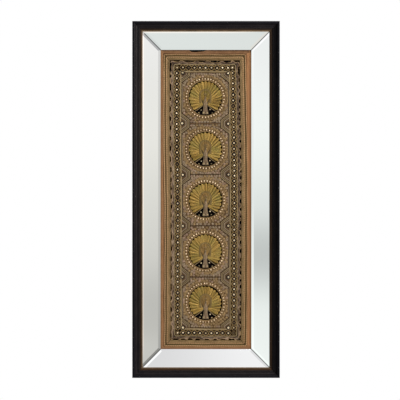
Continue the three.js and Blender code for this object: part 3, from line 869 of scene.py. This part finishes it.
def lay_field_outlines():
    """The cords round the field and beside the medallions, the lines between them, and the half hexagons."""
    pale, dark, taupe = Work(), Work(), Work()
    threads = {"pale": pale, "dark": dark, "taupe": taupe}
    for inset, tones in ((-2.1, (0.0, -0.1, 0.3, 0.5)), (0.6, (0.8, 0.4, 0.8, 0.8))):
        lay_all_round(pale, FIELD_LINE + inset, 3, 2.5, tones, (0.4, 18), sides=5, ply=4.6, twist=0.06)
    for centre in CENTRES.values():
        for side in (-1, 1):
            half = PITCH / 2 - CORNER_TALL
            for work, inset, end, width in ((dark, 4.4, half, 2.4), (taupe, 7.2, half - 3, 2.2)):
                x = side * (FIELD_SIDE - inset)
                lay_cord(work, spaced([(x, centre - end), (x, centre + end)], 2.2), width, sides=5)
    for k, level in enumerate(LEVELS):
        half = FIELD_SIDE - CORNER_WIDE - 2
        if abs(level) == OUTER_LEVEL:
            lines = [math.copysign(3.8, -level)]
        elif k == DOUBLED:
            lines = [-4.2, 4.2]
        else:
            lines = [0.0]
        for up in lines:
            lay_cord(dark, spaced([(-half, level + up), (half, level + up)], 2.2), 2.4, sides=5)
        for side in (-1, 1):
            for share, thread, shade in HEXAGON_CORDS:
                path = half_hexagon(level, side, share)
                lay_cord(threads[thread], path, 2.4, sides=5, shade=shade + rng.uniform(-0.3, 0.3))
    pale.make("field_pale_cords", PALE_CORD, "gold_braid")
    dark.make("field_dark_cords", DARK_CORD_THREAD, "gold_braid")
    taupe.make("field_taupe_cords", TAUPE_CORD, "gold_braid")


def lay_ringed_sequins():
    """A sequin in a ring of dark cord, in each half hexagon along the sides of the field."""
    cords, sequins = Work(), Work()
    for level in LEVELS:
        z = level - math.copysign(2.5, level) if abs(level) == OUTER_LEVEL else level
        for side in (-1, 1):
            x = side * (FIELD_SIDE - 6.5)
            lay_sequin(sequins, x, z, rng.uniform(3.2, 4.0), lift=1.2, shade=rng.uniform(0.2, 0.8))
            lay_bead(cords, x, z, (6.4, 6.4, 0.7), lift=0.4, sides=12, shade=-0.3)
            lay_cord(cords, circle(x, z, 7.0, step=1.5), 2.9, lift=0.9, closed=True, sides=5, shade=-0.5)
    cords.make("diamond_ring_cords", DARK_CORD_THREAD, "gold_braid")
    sequins.make("diamond_sequins", SEQUIN, "beads")


SCROLL = 4.7  # the radius of one
KEPT_APART = 2.35 * SCROLL  # how far their middles push one another
ROOM_FOR_ONE = 1.8 * SCROLL  # how far from all others a scroll more has to be
SCROLLS = 114  # round each medallion
SPARE_SPOTS = 900  # tried for a scroll more
SETTLING = 220  # rounds in which they push one another apart
FILL_IN_RING = 78.2  # where the medallion's outer cord ends


def scroll(x, z, radius, start, way):
    """A small spiral, from its rim in to its middle."""
    t = np.linspace(0, 1, 24) ** 0.8
    inward = radius * (1 - 0.86 * t)
    angle = start + way * 2 * np.pi * 1.55 * t
    return np.stack([x + inward * np.cos(angle), z + inward * np.sin(angle)], axis=1)


def into_cell(places, margin):
    """Brings places that are off the ground round a medallion back to its nearest edge."""
    sign, size = np.where(places < 0, -1, 1), np.abs(places)
    half_x, half_z = FIELD_SIDE - 8.5 - margin, PITCH / 2 - 2 - margin
    wall = FIELD_SIDE - CORNER_WIDE - 3 - margin
    lean = (CORNER_TALL - CORNER_BLUNT) / CORNER_WIDE
    slant = np.array([lean, 1]) / math.hypot(lean, 1)
    corner = np.array([FIELD_SIDE - 2, PITCH / 2 - CORNER_TALL]) @ slant - 2 - margin
    over = np.clip(size @ slant - corner, 0, None)
    past = size[:, 0] - wall
    back_to_wall = (past > 0) & (past < over)
    size[back_to_wall, 0] = wall
    over = np.where((past <= 0) | back_to_wall, 0, over)
    size = np.clip(size - over[:, None] * slant, 0, [half_x, half_z])
    radius = np.maximum(np.linalg.norm(size, axis=1), 1e-6)[:, None]
    return sign * size * np.maximum((FILL_IN_RING + margin) / radius, 1)


def settle_scrolls():
    """Places for the scrolls round a medallion: pushed apart until they fill the ground evenly."""
    places = rng.uniform(-1, 1, (SCROLLS, 2)) * [FIELD_SIDE, PITCH / 2]
    for _ in range(SETTLING):
        apart = places[:, None] - places[None]
        gap = np.linalg.norm(apart, axis=2) + 1e-6
        push = np.clip(KEPT_APART - gap, 0, None) / gap
        np.fill_diagonal(push, 0)
        places = into_cell(places + 0.35 * (apart * push[..., None]).sum(axis=1), SCROLL)
    for spare in into_cell(rng.uniform(-1, 1, (SPARE_SPOTS, 2)) * [FIELD_SIDE, PITCH / 2], SCROLL):
        if np.linalg.norm(places - spare, axis=1).min() > ROOM_FOR_ONE:
            places = np.vstack([places, spare])  # a bare spot was left here
    return places


def lay_scrolls(i):
    """Couched scrolls that fill the ground round the ring, some with a knot in the middle."""
    centre = CENTRES[i]
    taupe, tan, pink = Work(), Work(), Work()
    for x, z in settle_scrolls():
        by_ring = math.hypot(x, z) < FILL_IN_RING + 11
        threads = (tan, tan, tan, tan, pink) if by_ring else (taupe, taupe, taupe, tan, pink)
        work = threads[rng.integers(5)]
        size, start = SCROLL * rng.uniform(0.9, 1.08), rng.uniform(0, 6.28)
        path = scroll(x, z + centre, size, start, rng.choice([-1, 1]))
        tone = rng.uniform(0.1, 0.95)
        lay_cord(work, path, 2.4, sides=5, ply=3.6, shade=tone)
        if rng.random() < 0.35:
            lay_bead(work, x, z + centre, (1.4, 1.4, 1.4), lift=0.8, shade=tone + 0.2)
    taupe.make(f"field_scrolls_taupe_{i}", TAUPE_CORD, "gold_braid")
    tan.make(f"field_scrolls_tan_{i}", TAN_CORD, "gold_braid")
    pink.make(f"field_scrolls_pink_{i}", PINK_CORD, "gold_braid")


# ---- The medallions ------------------------------------------------------------------------------------

BEADS_IN_RING = 42
STITCHES_IN_GAP = 27
RING_RADIUS = BEAD_RING_OUTER - 3.6
RING_ACROSS = -1.3  # the rings lie a little to the left of their tails
TIPS = FAN_RADIUS + 4.0

# Where the tail stands off its ring: the direction in degrees, and how far.
TAIL_GAPS = {1: (120, 1.0), 2: (170, 0.6), 3: (30, 1.4), 4: (10, 1.2), 5: (50, 3.0)}


def lay_bead_ring(i):
    """Long beads set like rays on a padded brown ring, between cords. Inside it, stitches tack the tail's
    edge to the ring, and break up the dark gap between them."""
    centre = CENTRES[i]
    beads, cords, pad = Work(), Work(), Work()
    inner, outer = RING_RADIUS - 5.4, RING_RADIUS + 4.6
    profile = [(outer, 0.1), (outer, 0.7), (RING_RADIUS, 1.1), (inner, 0.7), (inner, 0.1)]
    lay_turned(pad, RING_ACROSS, centre, profile, sides=110)
    offset = rng.uniform(0, 360)
    for k in range(BEADS_IN_RING):
        angle = offset + 360 * (k + rng.uniform(-0.12, 0.12)) / BEADS_IN_RING
        r = RING_RADIUS + rng.uniform(-0.6, 0.6)
        x, z = RING_ACROSS + r * math.cos(math.radians(angle)), r * math.sin(math.radians(angle))
        size = rng.uniform(0.85, 1.06)
        half = (3.2 * size, 2.4 * size, 2.0 * size)
        lay_bead(beads, x, z + centre, half, turn=angle, lift=0.7, sides=10, rings=7)
    lay_cord(cords, circle(0, centre, RING_RADIUS - 6), 2.0, closed=True, ply=4.4, twist=0.06)
    towards, stand_off = TAIL_GAPS[i]
    for k in range(STITCHES_IN_GAP):
        angle = math.radians(360 * (k + rng.uniform(-0.3, 0.3)) / STITCHES_IN_GAP)
        pulled_off = stand_off * max(0, math.cos(angle - math.radians(towards))) > rng.uniform(0.5, 3)
        if math.sin(angle) > -0.7 and not pulled_off:
            x, z = (TIPS + 0.8) * math.cos(angle), (TIPS + 0.8) * math.sin(angle)
            size = (rng.uniform(1.5, 2.2), rng.uniform(1.6, 2.8), 1.0)
            lay_bead(cords, x, z + centre, size, turn=math.degrees(angle), lift=0.3, shade=-0.3)
    lay_cord(cords, circle(RING_ACROSS, centre, RING_RADIUS + 5.7), 2.2, closed=True, ply=4.4, twist=0.06)
    beads.make(f"bead_ring_sewn_{i}", GLASS_BEAD, "beads", [f"bead_ring_{i}"])
    pad.make(f"bead_ring_pad_{i}", RING_PAD, "gold_braid")
    cords.make(f"bead_ring_cords_{i}", TAN_CORD, "gold_braid")


TAIL_THREAD = couched_pad("gold_and_olive_tail_thread", ("#3c2d11", "#8e7030", "#be9b51"), drift="#8a7e3e")
BODY_THREAD = couched_pad("silver_body_thread", ("#352a1c", "#736146", "#9b8165"), rows=1.5, metal=0.2)
BREAST_THREAD = couched_pad("brown_gold_breast_thread", ("#2e2113", "#7c5d32", "#a48147"), drift="#846f3d")
PLAIN_PAD = {"metal": 0.0, "barbs": False}  # felt and satin, without a rib
TAIL_FELT = couched_pad("dark_olive_felt", ("#241b0c", "#423315", "#574524"), rows=3.0, **PLAIN_PAD)
GREEN_GREY_CORD = fibre_thread("green_grey_cord", ("#2a210f", "#766034", "#907a4a"), patch=20)
RING_PAD = couched_pad("brown_satin_ring_pad", ("#2c1e0c", "#64492a", "#826339"), rows=2.2, **PLAIN_PAD)

LONG_FEATHERS, SHORT_FEATHERS = 21, 11  # in each tail
LONG = {"half": 6.7, "crown": 1.7}  # half a feather's width, and how full it is
SHORT = {"half": 3.6, "crown": 1.1}
DROOP = 46.5  # how far round the tail comes below the level of its middle, in degrees


def tail_root(v):
    """Where the tail meets the body, from its right hem (v = 0) over the back to its left one (v = 1)."""
    return np.stack([6 * np.cos(np.pi * v), -22 + 14 * np.sin(np.pi * v)], axis=-1)


def tail_angle(v):
    return np.radians(-DROOP + v * (180 + 2 * DROOP))


def lay_feather(work, root, tip, lift, shade, half, crown):
    """A feather: a padded tongue with a round tip and a little ridge along its rib. Its threads are laid in
    darker and lighter strands side by side."""
    root, tip = np.array(root, float), np.array(tip, float)
    length = np.linalg.norm(tip - root)
    ahead = (tip - root) / length
    left = np.array([-ahead[1], ahead[0]])
    t = 1 - (1 - np.linspace(0, 1, 15)) ** 1.35
    u = np.linspace(1, -1, 9)
    round_end = np.clip((t * length - (length - half)) / half, 0, 0.985)
    width = half * (0.4 + 0.6 * np.clip(t * 1.12, 0, 1)) * np.sqrt(1 - round_end**2)
    side = width[:, None] * u
    along = np.broadcast_to((t * length)[:, None], side.shape)
    x = root[0] + along * ahead[0] + side * left[0]
    z = root[1] + along * ahead[1] + side * left[1]
    end = 0.5 + 0.5 * np.sqrt(1 - round_end**2)
    bulge = (1 - np.abs(u) ** 2.2) * end[:, None]
    rib = 0.15 * np.exp(-((u / 0.16) ** 2))
    height = lift + 0.4 + crown * (bulge + rib)
    uv = np.stack([side.ravel(), along.ravel()], axis=1)
    strands = 0.45 * np.cos(1.5 * np.pi * (u + rng.uniform(-0.6, 0.6)))
    dark_edges = np.clip((np.abs(u) - 0.62) / 0.38, 0, 1)
    # Lighter towards the root: painted light over the shade where the roots crowd together by the body.
    painted_light_at_root = 0.6 * np.clip(1 - 2.5 * t, 0, 1)
    tones = shade + painted_light_at_root[:, None] + strands - dark_edges
    lay_patch(work, x, z, height, foot=lift * 0.4, uv=uv, shade=tones)


def lay_tail_pad(i):
    """The dark felt that pads the raised tail out, seen as thin lines between the feathers."""
    v = np.linspace(1, 0, 61)
    s = np.linspace(0, 1, 12)
    root = tail_root(v)
    edge = (FAN_RADIUS - 5) * np.stack([np.cos(tail_angle(v)), np.sin(tail_angle(v))], axis=-1)
    grid = root[None] + s[:, None, None] * (edge - root)[None] + [0, CENTRES[i]]
    height = np.broadcast_to((2.6 * (1 - s) + 0.9 * s)[:, None], grid.shape[:2])
    work = Work()
    lay_patch(work, grid[..., 0], grid[..., 1], height, foot=0.1)
    pad = work.make(f"peacock_tail_pad_{i}", TAIL_FELT, "tail_thread")


ARCH_LEVEL = 10  # the middle of the arch over the bird's head
SHORT_REACH = 18  # how far from there the short feathers come


def lay_tail(i):
    """The raised tail: long feathers with an eye near each tip, and short ones inside a grey-green arch."""
    centre = np.array([0, CENTRES[i]])
    towards, stand_off = TAIL_GAPS[i]
    feathers, breast, eyes, cords = Work(), Work(), Work(), Work()
    for k in range(LONG_FEATHERS):
        at = (k + 0.5) / LONG_FEATHERS
        angle = tail_angle(at)
        ray = np.array([math.cos(angle), math.sin(angle)])
        reach = TIPS - stand_off * max(0, math.cos(angle - math.radians(towards))) + rng.uniform(-1.6, 1.2)
        from_root = 0.3 * math.sin(math.pi * at)
        start = tail_root(at) + from_root * (reach * ray - tail_root(at)) + centre
        darker_to_right = (0.6 if i == 1 else 0.15) * math.cos(angle)
        tone = 0.5 + 0.1 * math.sin(angle) - darker_to_right + rng.uniform(-0.4, 0.4)
        lift = 1.0 + 0.4 * (k % 2)
        lay_feather(feathers, start, reach * ray + centre, lift, tone, **LONG)
        eye = (reach - rng.uniform(6, 9)) * ray + centre
        half = rng.uniform(0.8, 1.5)
        lay_bead(eyes, *eye, (half * 1.7, half, 0.7), turn=math.degrees(angle), lift=lift + 1.4, shade=0.0)
        rib = np.array([34 * ray, (reach - 11) * ray]) + centre
        lay_cord(eyes, spaced(rib, 2.4), 1.1, lift=lift + 1.6, sides=4, shade=0.2)
    for k in range(SHORT_FEATHERS):
        at = 0.14 + 0.72 * (k + 0.5) / SHORT_FEATHERS
        angle = tail_angle(at)
        ray = np.array([math.cos(angle), math.sin(angle)])
        tip = np.array([0, ARCH_LEVEL]) + SHORT_REACH * ray + centre
        tone = (-0.2 if i == 1 else 0.4) + rng.uniform(-0.4, 0.4)
        lay_feather(breast, tail_root(at) + centre, tip, 2.6 + 0.3 * (k % 2), tone, **SHORT)
    for radius, width, shade in ((17.6, 2.0, -0.1), (20.0, 2.4, 0.5), (22.5, 2.2, -0.3)):
        over = circle(0, ARCH_LEVEL, radius, 0, 180, step=1.8)
        leg = np.array([(radius - 1.5, -18), (radius, -3)])
        arch = np.vstack([leg, over, leg[::-1] * [-1, 1]]) + centre
        lay_cord(cords, spaced(arch, 1.8), width, lift=2.6, ply=3.8, shade=shade)
    tail = feathers.make(f"peacock_tail_sewn_{i}", TAIL_THREAD, "tail_thread", [f"peacock_tail_{i}"])
    thread = TAIL_THREAD if i == 1 else BREAST_THREAD  # the top bird's are of its tail's own thread
    short_feathers = breast.make(f"peacock_short_feathers_{i}", thread, "tail_thread")
    eyes.make(f"peacock_tail_eyes_{i}", OLIVE_CORD, "tail_thread")
    cords.make(f"peacock_tail_arch_{i}", GREEN_GREY_CORD, "tail_thread")


# The bird's outline: level below or above the middle, half width, and how far the padding stands out.
SKIRT = [(-59.5, 12.8, 1.4), (-58, 12.6, 2.4), (-54, 10.4, 3.2), (-47, 7.8, 4.0), (-40, 6.2, 4.6)]
BREAST = [(-34, 5.6, 5.2), (-26, 6.2, 5.8), (-18, 6.8, 6.4), (-11, 6.4, 6.4), (-5, 5.2, 6.2)]
NECK_AND_HEAD = [(0, 4.2, 5.6), (4, 3.2, 5.0), (7, 1.4, 3.2)]
BIRD = np.array([*SKIRT, *BREAST, *NECK_AND_HEAD])


def lay_bird(i):
    """The bird from the front: a spread skirt of short feathers, a full breast and a small head."""
    centre = CENTRES[i]
    work = Work()
    z = np.linspace(BIRD[0, 0], BIRD[-1, 0], 49)
    half = np.interp(z, BIRD[:, 0], BIRD[:, 1])
    thick = np.interp(z, BIRD[:, 0], BIRD[:, 2])
    u = np.linspace(-1, 1, 21)
    x = half[:, None] * u
    level = np.broadcast_to(z[:, None], x.shape)
    dome = np.clip(1 - np.abs(u) ** 3, 0, 1) ** 0.6
    skirt = np.clip((-34 - level) / 8, 0, 1)
    pleats = np.cos(7 * np.pi * u)
    scales = 0.22 * (1 - skirt) * np.sin(level * 1.9 + 3 * np.cos(2.6 * np.pi * u))
    relief = (0.7 * skirt * pleats + scales) * np.clip(dome * 2, 0, 1)
    height = 0.7 + (thick[:, None] - 0.5) * dome + relief
    scallop = 1.3 * pleats * np.clip((-56 - level) / 3, 0, 1)
    shade = np.interp(level, [-56, -40, -32, -22, -8, 2], [0.8, 0.5, 0.5, 0.6, 0.8, -0.3])
    two_lobes = np.clip((-46 - level) / 4, 0, 1) * np.cos(2.4 * np.pi * (np.abs(u) - 0.42))
    shade = shade + 0.35 * skirt * pleats + 0.8 * two_lobes - 0.1
    uv = np.stack([x.ravel(), level.ravel()], axis=1)
    lay_patch(work, x, level + scallop + centre, height, foot=0.1, uv=uv, shade=shade)
    bird = work.make(f"peacock_body_sewn_{i}", BODY_THREAD, "body_thread", [f"peacock_body_{i}"])


def lay_bird_details(i):
    """Cords that outline the bird, its wings and the tail's hem, its beak and crest, the pale lobes of its
    skirt, and the leaves and sequins beside it."""
    centre = CENTRES[i]
    outline, cords, sequins = Work(), Work(), Work()
    round_bead = {"sides": 10, "rings": 7}
    for side in (-1, 1):
        edge = np.stack([side * (BIRD[2:, 1] + 0.5), BIRD[2:, 0] + centre], axis=1)
        lay_cord(outline, spaced(edge, 1.6), 2.0, lift=2.4, sides=5, shade=0.1)
        wing = np.array([(1.8, -6), (3.4, -12), (3.8, -19), (2.8, -27)]) * [side, 1] + [0, centre]
        lay_cord(cords, spaced(wing, 1.5), 1.1, lift=5.6, sides=5, shade=0.5)
        hem = np.array([(side * 11.5, -27.8), (side * 26, -39.8), (side * 40, -49.2)]) + [0, centre]
        lay_cord(cords, spaced(hem, 1.8), 2.2, lift=1.2, sides=5, ply=3.8, shade=0.2)
        shown = rng.uniform(1.6, 2.7)
        lay_sequin(sequins, side * rng.uniform(14, 18), centre - rng.uniform(40, 45), shown, lift=0.6)
        leaf_x, leaf_z = side * rng.uniform(21, 27), centre - rng.uniform(52, 55)
        leaf = (rng.uniform(2.2, 3.6), rng.uniform(1.2, 2.0), 1.2)
        lay_bead(cords, leaf_x, leaf_z, leaf, side * 28, lift=0.4, shade=1.0, **round_bead)
        lobe = (4.2, 2.7, 1.1)
        lay_bead(cords, side * 7.0, centre - 54, lobe, side * -72, lift=2.4, shade=1.0, **round_bead)
    dark_spot, beak = (1.9, 1.5, 0.9), (2.6, 1.1, 1.0)
    lay_bead(cords, 0.6, centre - 50, dark_spot, 90, lift=3.6, shade=-1.0, **round_bead)
    lay_bead(cords, 2.8, centre + 3.6, beak, -20, lift=3.8, shade=0.4, **round_bead)
    for lean in (-26, 0, 26):
        x, z = 9 * math.sin(math.radians(lean)), 7 + 8 * math.cos(math.radians(lean)) + centre
        lay_cord(cords, spaced([(0, centre + 6), (x, z)], 1.2), 1.0, lift=4.4, sides=5, shade=-0.8)
        lay_bead(cords, x, z, (1.3, 1.3, 1.0), lift=4.2, shade=-0.1)
    outline.make(f"peacock_outline_{i}", TAUPE_CORD, "body_thread")
    cords.make(f"peacock_crest_and_leaves_{i}", PALE_CORD, "body_thread")
    sequins.make(f"peacock_sequins_{i}", SEQUIN, "beads")


lay_ground()
for side in ("top", "right", "bottom", "left"):
    lay_binding(side)
lay_braid()
lay_border_cords()
lay_meander()
lay_sequin_row()
lay_field_outlines()
lay_ringed_sequins()
for i in MEDALLIONS:
    lay_scrolls(i)
    lay_bead_ring(i)
    lay_tail_pad(i)
    lay_tail(i)
    lay_bird(i)
    lay_bird_details(i)


# ---- Camera, light and floor --------------------------------------------------------------------------

VIEW_HEIGHT = 1511.3 * MM  # what the camera takes in, from top to bottom, at the frame's face
CAMERA_AWAY = 5.2
CAMERA_X = -22.7 * MM
CAMERA_Z = -1.9 * MM


def add_camera():
    data = bpy.data.cameras.new("camera")
    camera = bpy.data.objects.new("camera", data)
    bpy.context.scene.collection.objects.link(camera)
    front = CAD_BOX[0].y
    camera.location = (CAMERA_X, front - CAMERA_AWAY, CAMERA_Z)
    camera.rotation_euler = (math.pi / 2, 0, 0)
    data.sensor_width = 36
    data.lens = data.sensor_width * CAMERA_AWAY / VIEW_HEIGHT
    data.clip_end = 100
    bpy.context.scene.camera = camera


def add_lamp(name, place_at, width, height, power, tint="#ffffff"):
    """A soft box that faces the middle of the panel."""
    data = bpy.data.lights.new(name, "AREA")
    data.shape = "RECTANGLE"
    data.size, data.size_y = width, height
    data.energy = power
    data.color = colour(tint)[:3]
    lamp = bpy.data.objects.new(name, data)
    lamp.location = place_at
    lamp.rotation_euler = (-Vector(place_at)).to_track_quat("-Z", "Y").to_euler()
    bpy.context.scene.collection.objects.link(lamp)


def add_world():
    """White behind the object. What shines shows a white room instead, with darker and lighter places in
    it, and the plain light that falls on everything is weaker."""
    world = bpy.data.worlds.new("studio")
    bpy.context.scene.world = world
    world.use_nodes = True
    world.node_tree.nodes.clear()
    add = partial(add_node, world.node_tree)
    ray = add("LightPath").outputs
    way = add("SeparateXYZ", {"Vector": add("TexCoord").outputs["Generated"]}).outputs
    right, up = way["X"], way["Z"]

    def off(value, middle):
        """How far a direction is from a middle one."""
        past = add("Math", {0: value, 1: middle}, operation="SUBTRACT")
        return add("Math", {0: past}, operation="ABSOLUTE")

    def share(*parts):
        """Numbers, nodes and ramps, multiplied together. A ramp is a direction, where along it the ramp
        starts and ends, and its levels there."""
        product = 1.0
        for part in parts:
            if isinstance(part, tuple):
                ends = dict(zip(("Value", "From Min", "From Max", "To Min", "To Max"), part))
                part = add("MapRange", ends, interpolation_type="SMOOTHSTEP")
            product = add("Math", {0: product, 1: part}, operation="MULTIPLY")
        return product

    off_side, off_level = off(right, 0.0), off(up, 0.0)
    # The corner of the room past the window is darker, and darkest above and below eye level.
    above, below = share((off_level, 0.15, 0.3, 0.22, 0.4)), share((up, -0.3, -0.2, 0.22, 0))
    depth = add("Math", {0: above, 1: below}, operation="ADD")
    corner = add("Math", {0: 1.0, 1: share((right, 0.33, 0.44, 0, 1), depth)}, operation="SUBTRACT")
    # Near eye level it gets lighter upwards on both sides, and darker downwards on the right alone.
    near_level = (off_level, 0.12, 0.22, 1, 0)
    lower = add("Math", {0: up, 1: 0.0}, operation="MINIMUM")
    upper = add("Math", {0: up, 1: 0.0}, operation="MAXIMUM")
    turned = add("Clamp", {"Value": right, "Min": -0.34, "Max": 0.3})
    sideways_on = add("Math", {0: off_side, 1: 0.3}, operation="MINIMUM")
    left_wall = share((right, -0.4, -0.33, 0, 1), (right, -0.2, -0.13, 1, 0))
    right_wall = share((right, 0.13, 0.2, 0, 1), (right, 0.33, 0.4, 1, 0))
    changes = (
        share(turned, lower, near_level, 9.0),
        share(sideways_on, upper, near_level, 5.5),
        share((up, -0.2, 0.2, -0.03, 0.04)),
        # On the left wall there is a grey beam below eye level, and above it the wall is at its whitest.
        share((off(up, -0.0415), 0, 0.042, 1, 0), left_wall, -0.32),
        share((off(up, 0.046), 0, 0.08, 1, 0), left_wall, 0.17),
        share((off(up, -0.07), 0, 0.035, 1, 0), right_wall, -0.08),
        share((off(up, 0.045), 0, 0.045, 1, 0), right_wall, 0.06),
        share((up, -0.11, -0.09, 0.09, 0), right_wall),
        # Two pale spots: low on the far left, and high on the left.
        share((right, -0.45, -0.38, 1, 0), (up, -0.3, -0.15, 0.4, 0.12)),
        share((right, -0.24, -0.16, 1, 0), (up, 0.28, 0.38, 0, 0.4)),
        # Overhead it is a little darker on the left than on the right.
        share((right, -0.04, 0.045, -0.12, 0.13), (off_side, 0.06, 0.12, 1, 0), (up, 0.1, 0.15, 0, 1)),
    )
    level = 1.0
    for change in changes:
        level = add("Math", {0: level, 1: change}, operation="ADD")
    # Where the camera stands, far out to the left and far up or down, the room is dark.
    outward = add("Math", {0: off_side, 1: off_level}, operation="MAXIMUM")
    camera_side, far_left = (outward, 0.08, 0.17, 0.8, 1), (right, -0.9, -0.62, 0.12, 1)
    far_up, beside = (off_level, 0.6, 0.85, 1, 0.45), (off_side, 0.1, 0.24, 1, 0.93)
    shown = share(level, corner, camera_side, far_left, far_up, beside)
    walls = blend(add, "#fdffff", "#fffaf6", right, 0.1, 0.3, ramp="SMOOTHSTEP")
    room = blend(add, walls, "#fffbff", up, 0.02, 0.19, ramp="SMOOTHSTEP")
    shine = add("Background", {"Color": room, "Strength": shown})
    white = add("Background", {"Color": (1, 1, 1, 1), "Strength": 1.0})
    from_window = add("Math", {0: right, 1: 0.32, 2: 0.44}, operation="MULTIPLY_ADD")
    plain = add("Background", {"Color": colour("#f8f8ff"), "Strength": from_window})
    lit = add("MixShader", {0: ray["Is Glossy Ray"], 1: plain, 2: shine})
    seen = add("Math", {0: ray["Is Camera Ray"], 1: ray["Is Transmission Ray"]}, operation="MAXIMUM")
    add("OutputWorld", {"Surface": add("MixShader", {0: seen, 1: lit, 2: white})})


FLOOR_HALF = 1.0
FLOOR_BELOW = 0.42  # how far the floor lies under the panel, which hangs


def add_floor():
    """A plain pale floor well below the panel. To the camera it is nearly white, and it keeps the panel's
    shadow."""
    material, add, shader = new_surface("pale_floor_paint")
    feed(shader, {"Base Color": colour("#f2f2f0"), "Roughness": 0.8})
    ray = add("LightPath").outputs
    seen = add("Math", {0: ray["Is Camera Ray"], 1: ray["Is Glossy Ray"]}, operation="MAXIMUM")
    seen = add("Math", {0: seen, 1: ray["Is Transmission Ray"]}, operation="MAXIMUM")
    white_share = add("Math", {0: seen, 1: 0.6}, operation="MULTIPLY")
    white = add("Emission", {"Color": (1, 1, 1, 1), "Strength": 1.0})
    mixed = add("MixShader", {0: white_share, 1: shader, 2: white})
    feed(material.node_tree.nodes["Material Output"], {"Surface": mixed})
    level = CAD_BOX[0].z - FLOOR_BELOW
    corners = [(x * FLOOR_HALF, y * FLOOR_HALF, level) for x, y in ((-1, -1), (1, -1), (1, 1), (-1, 1))]
    mesh = bpy.data.meshes.new("floor")
    mesh.from_pydata(corners, [], [(0, 1, 2, 3)])
    mesh.materials.append(material)
    floor = bpy.data.objects.new("floor", mesh)
    bpy.context.scene.collection.objects.link(floor)


add_camera()
add_world()
add_lamp("side_window", (2.6, -1.3, 0.7), width=1.2, height=1.8, power=75, tint="#fff8ee")
add_lamp("front_soft_box", (0.9, -3.4, 1.9), width=1.2, height=1.2, power=60)
add_floor()
bpy.context.scene.view_settings.view_transform = "Standard"
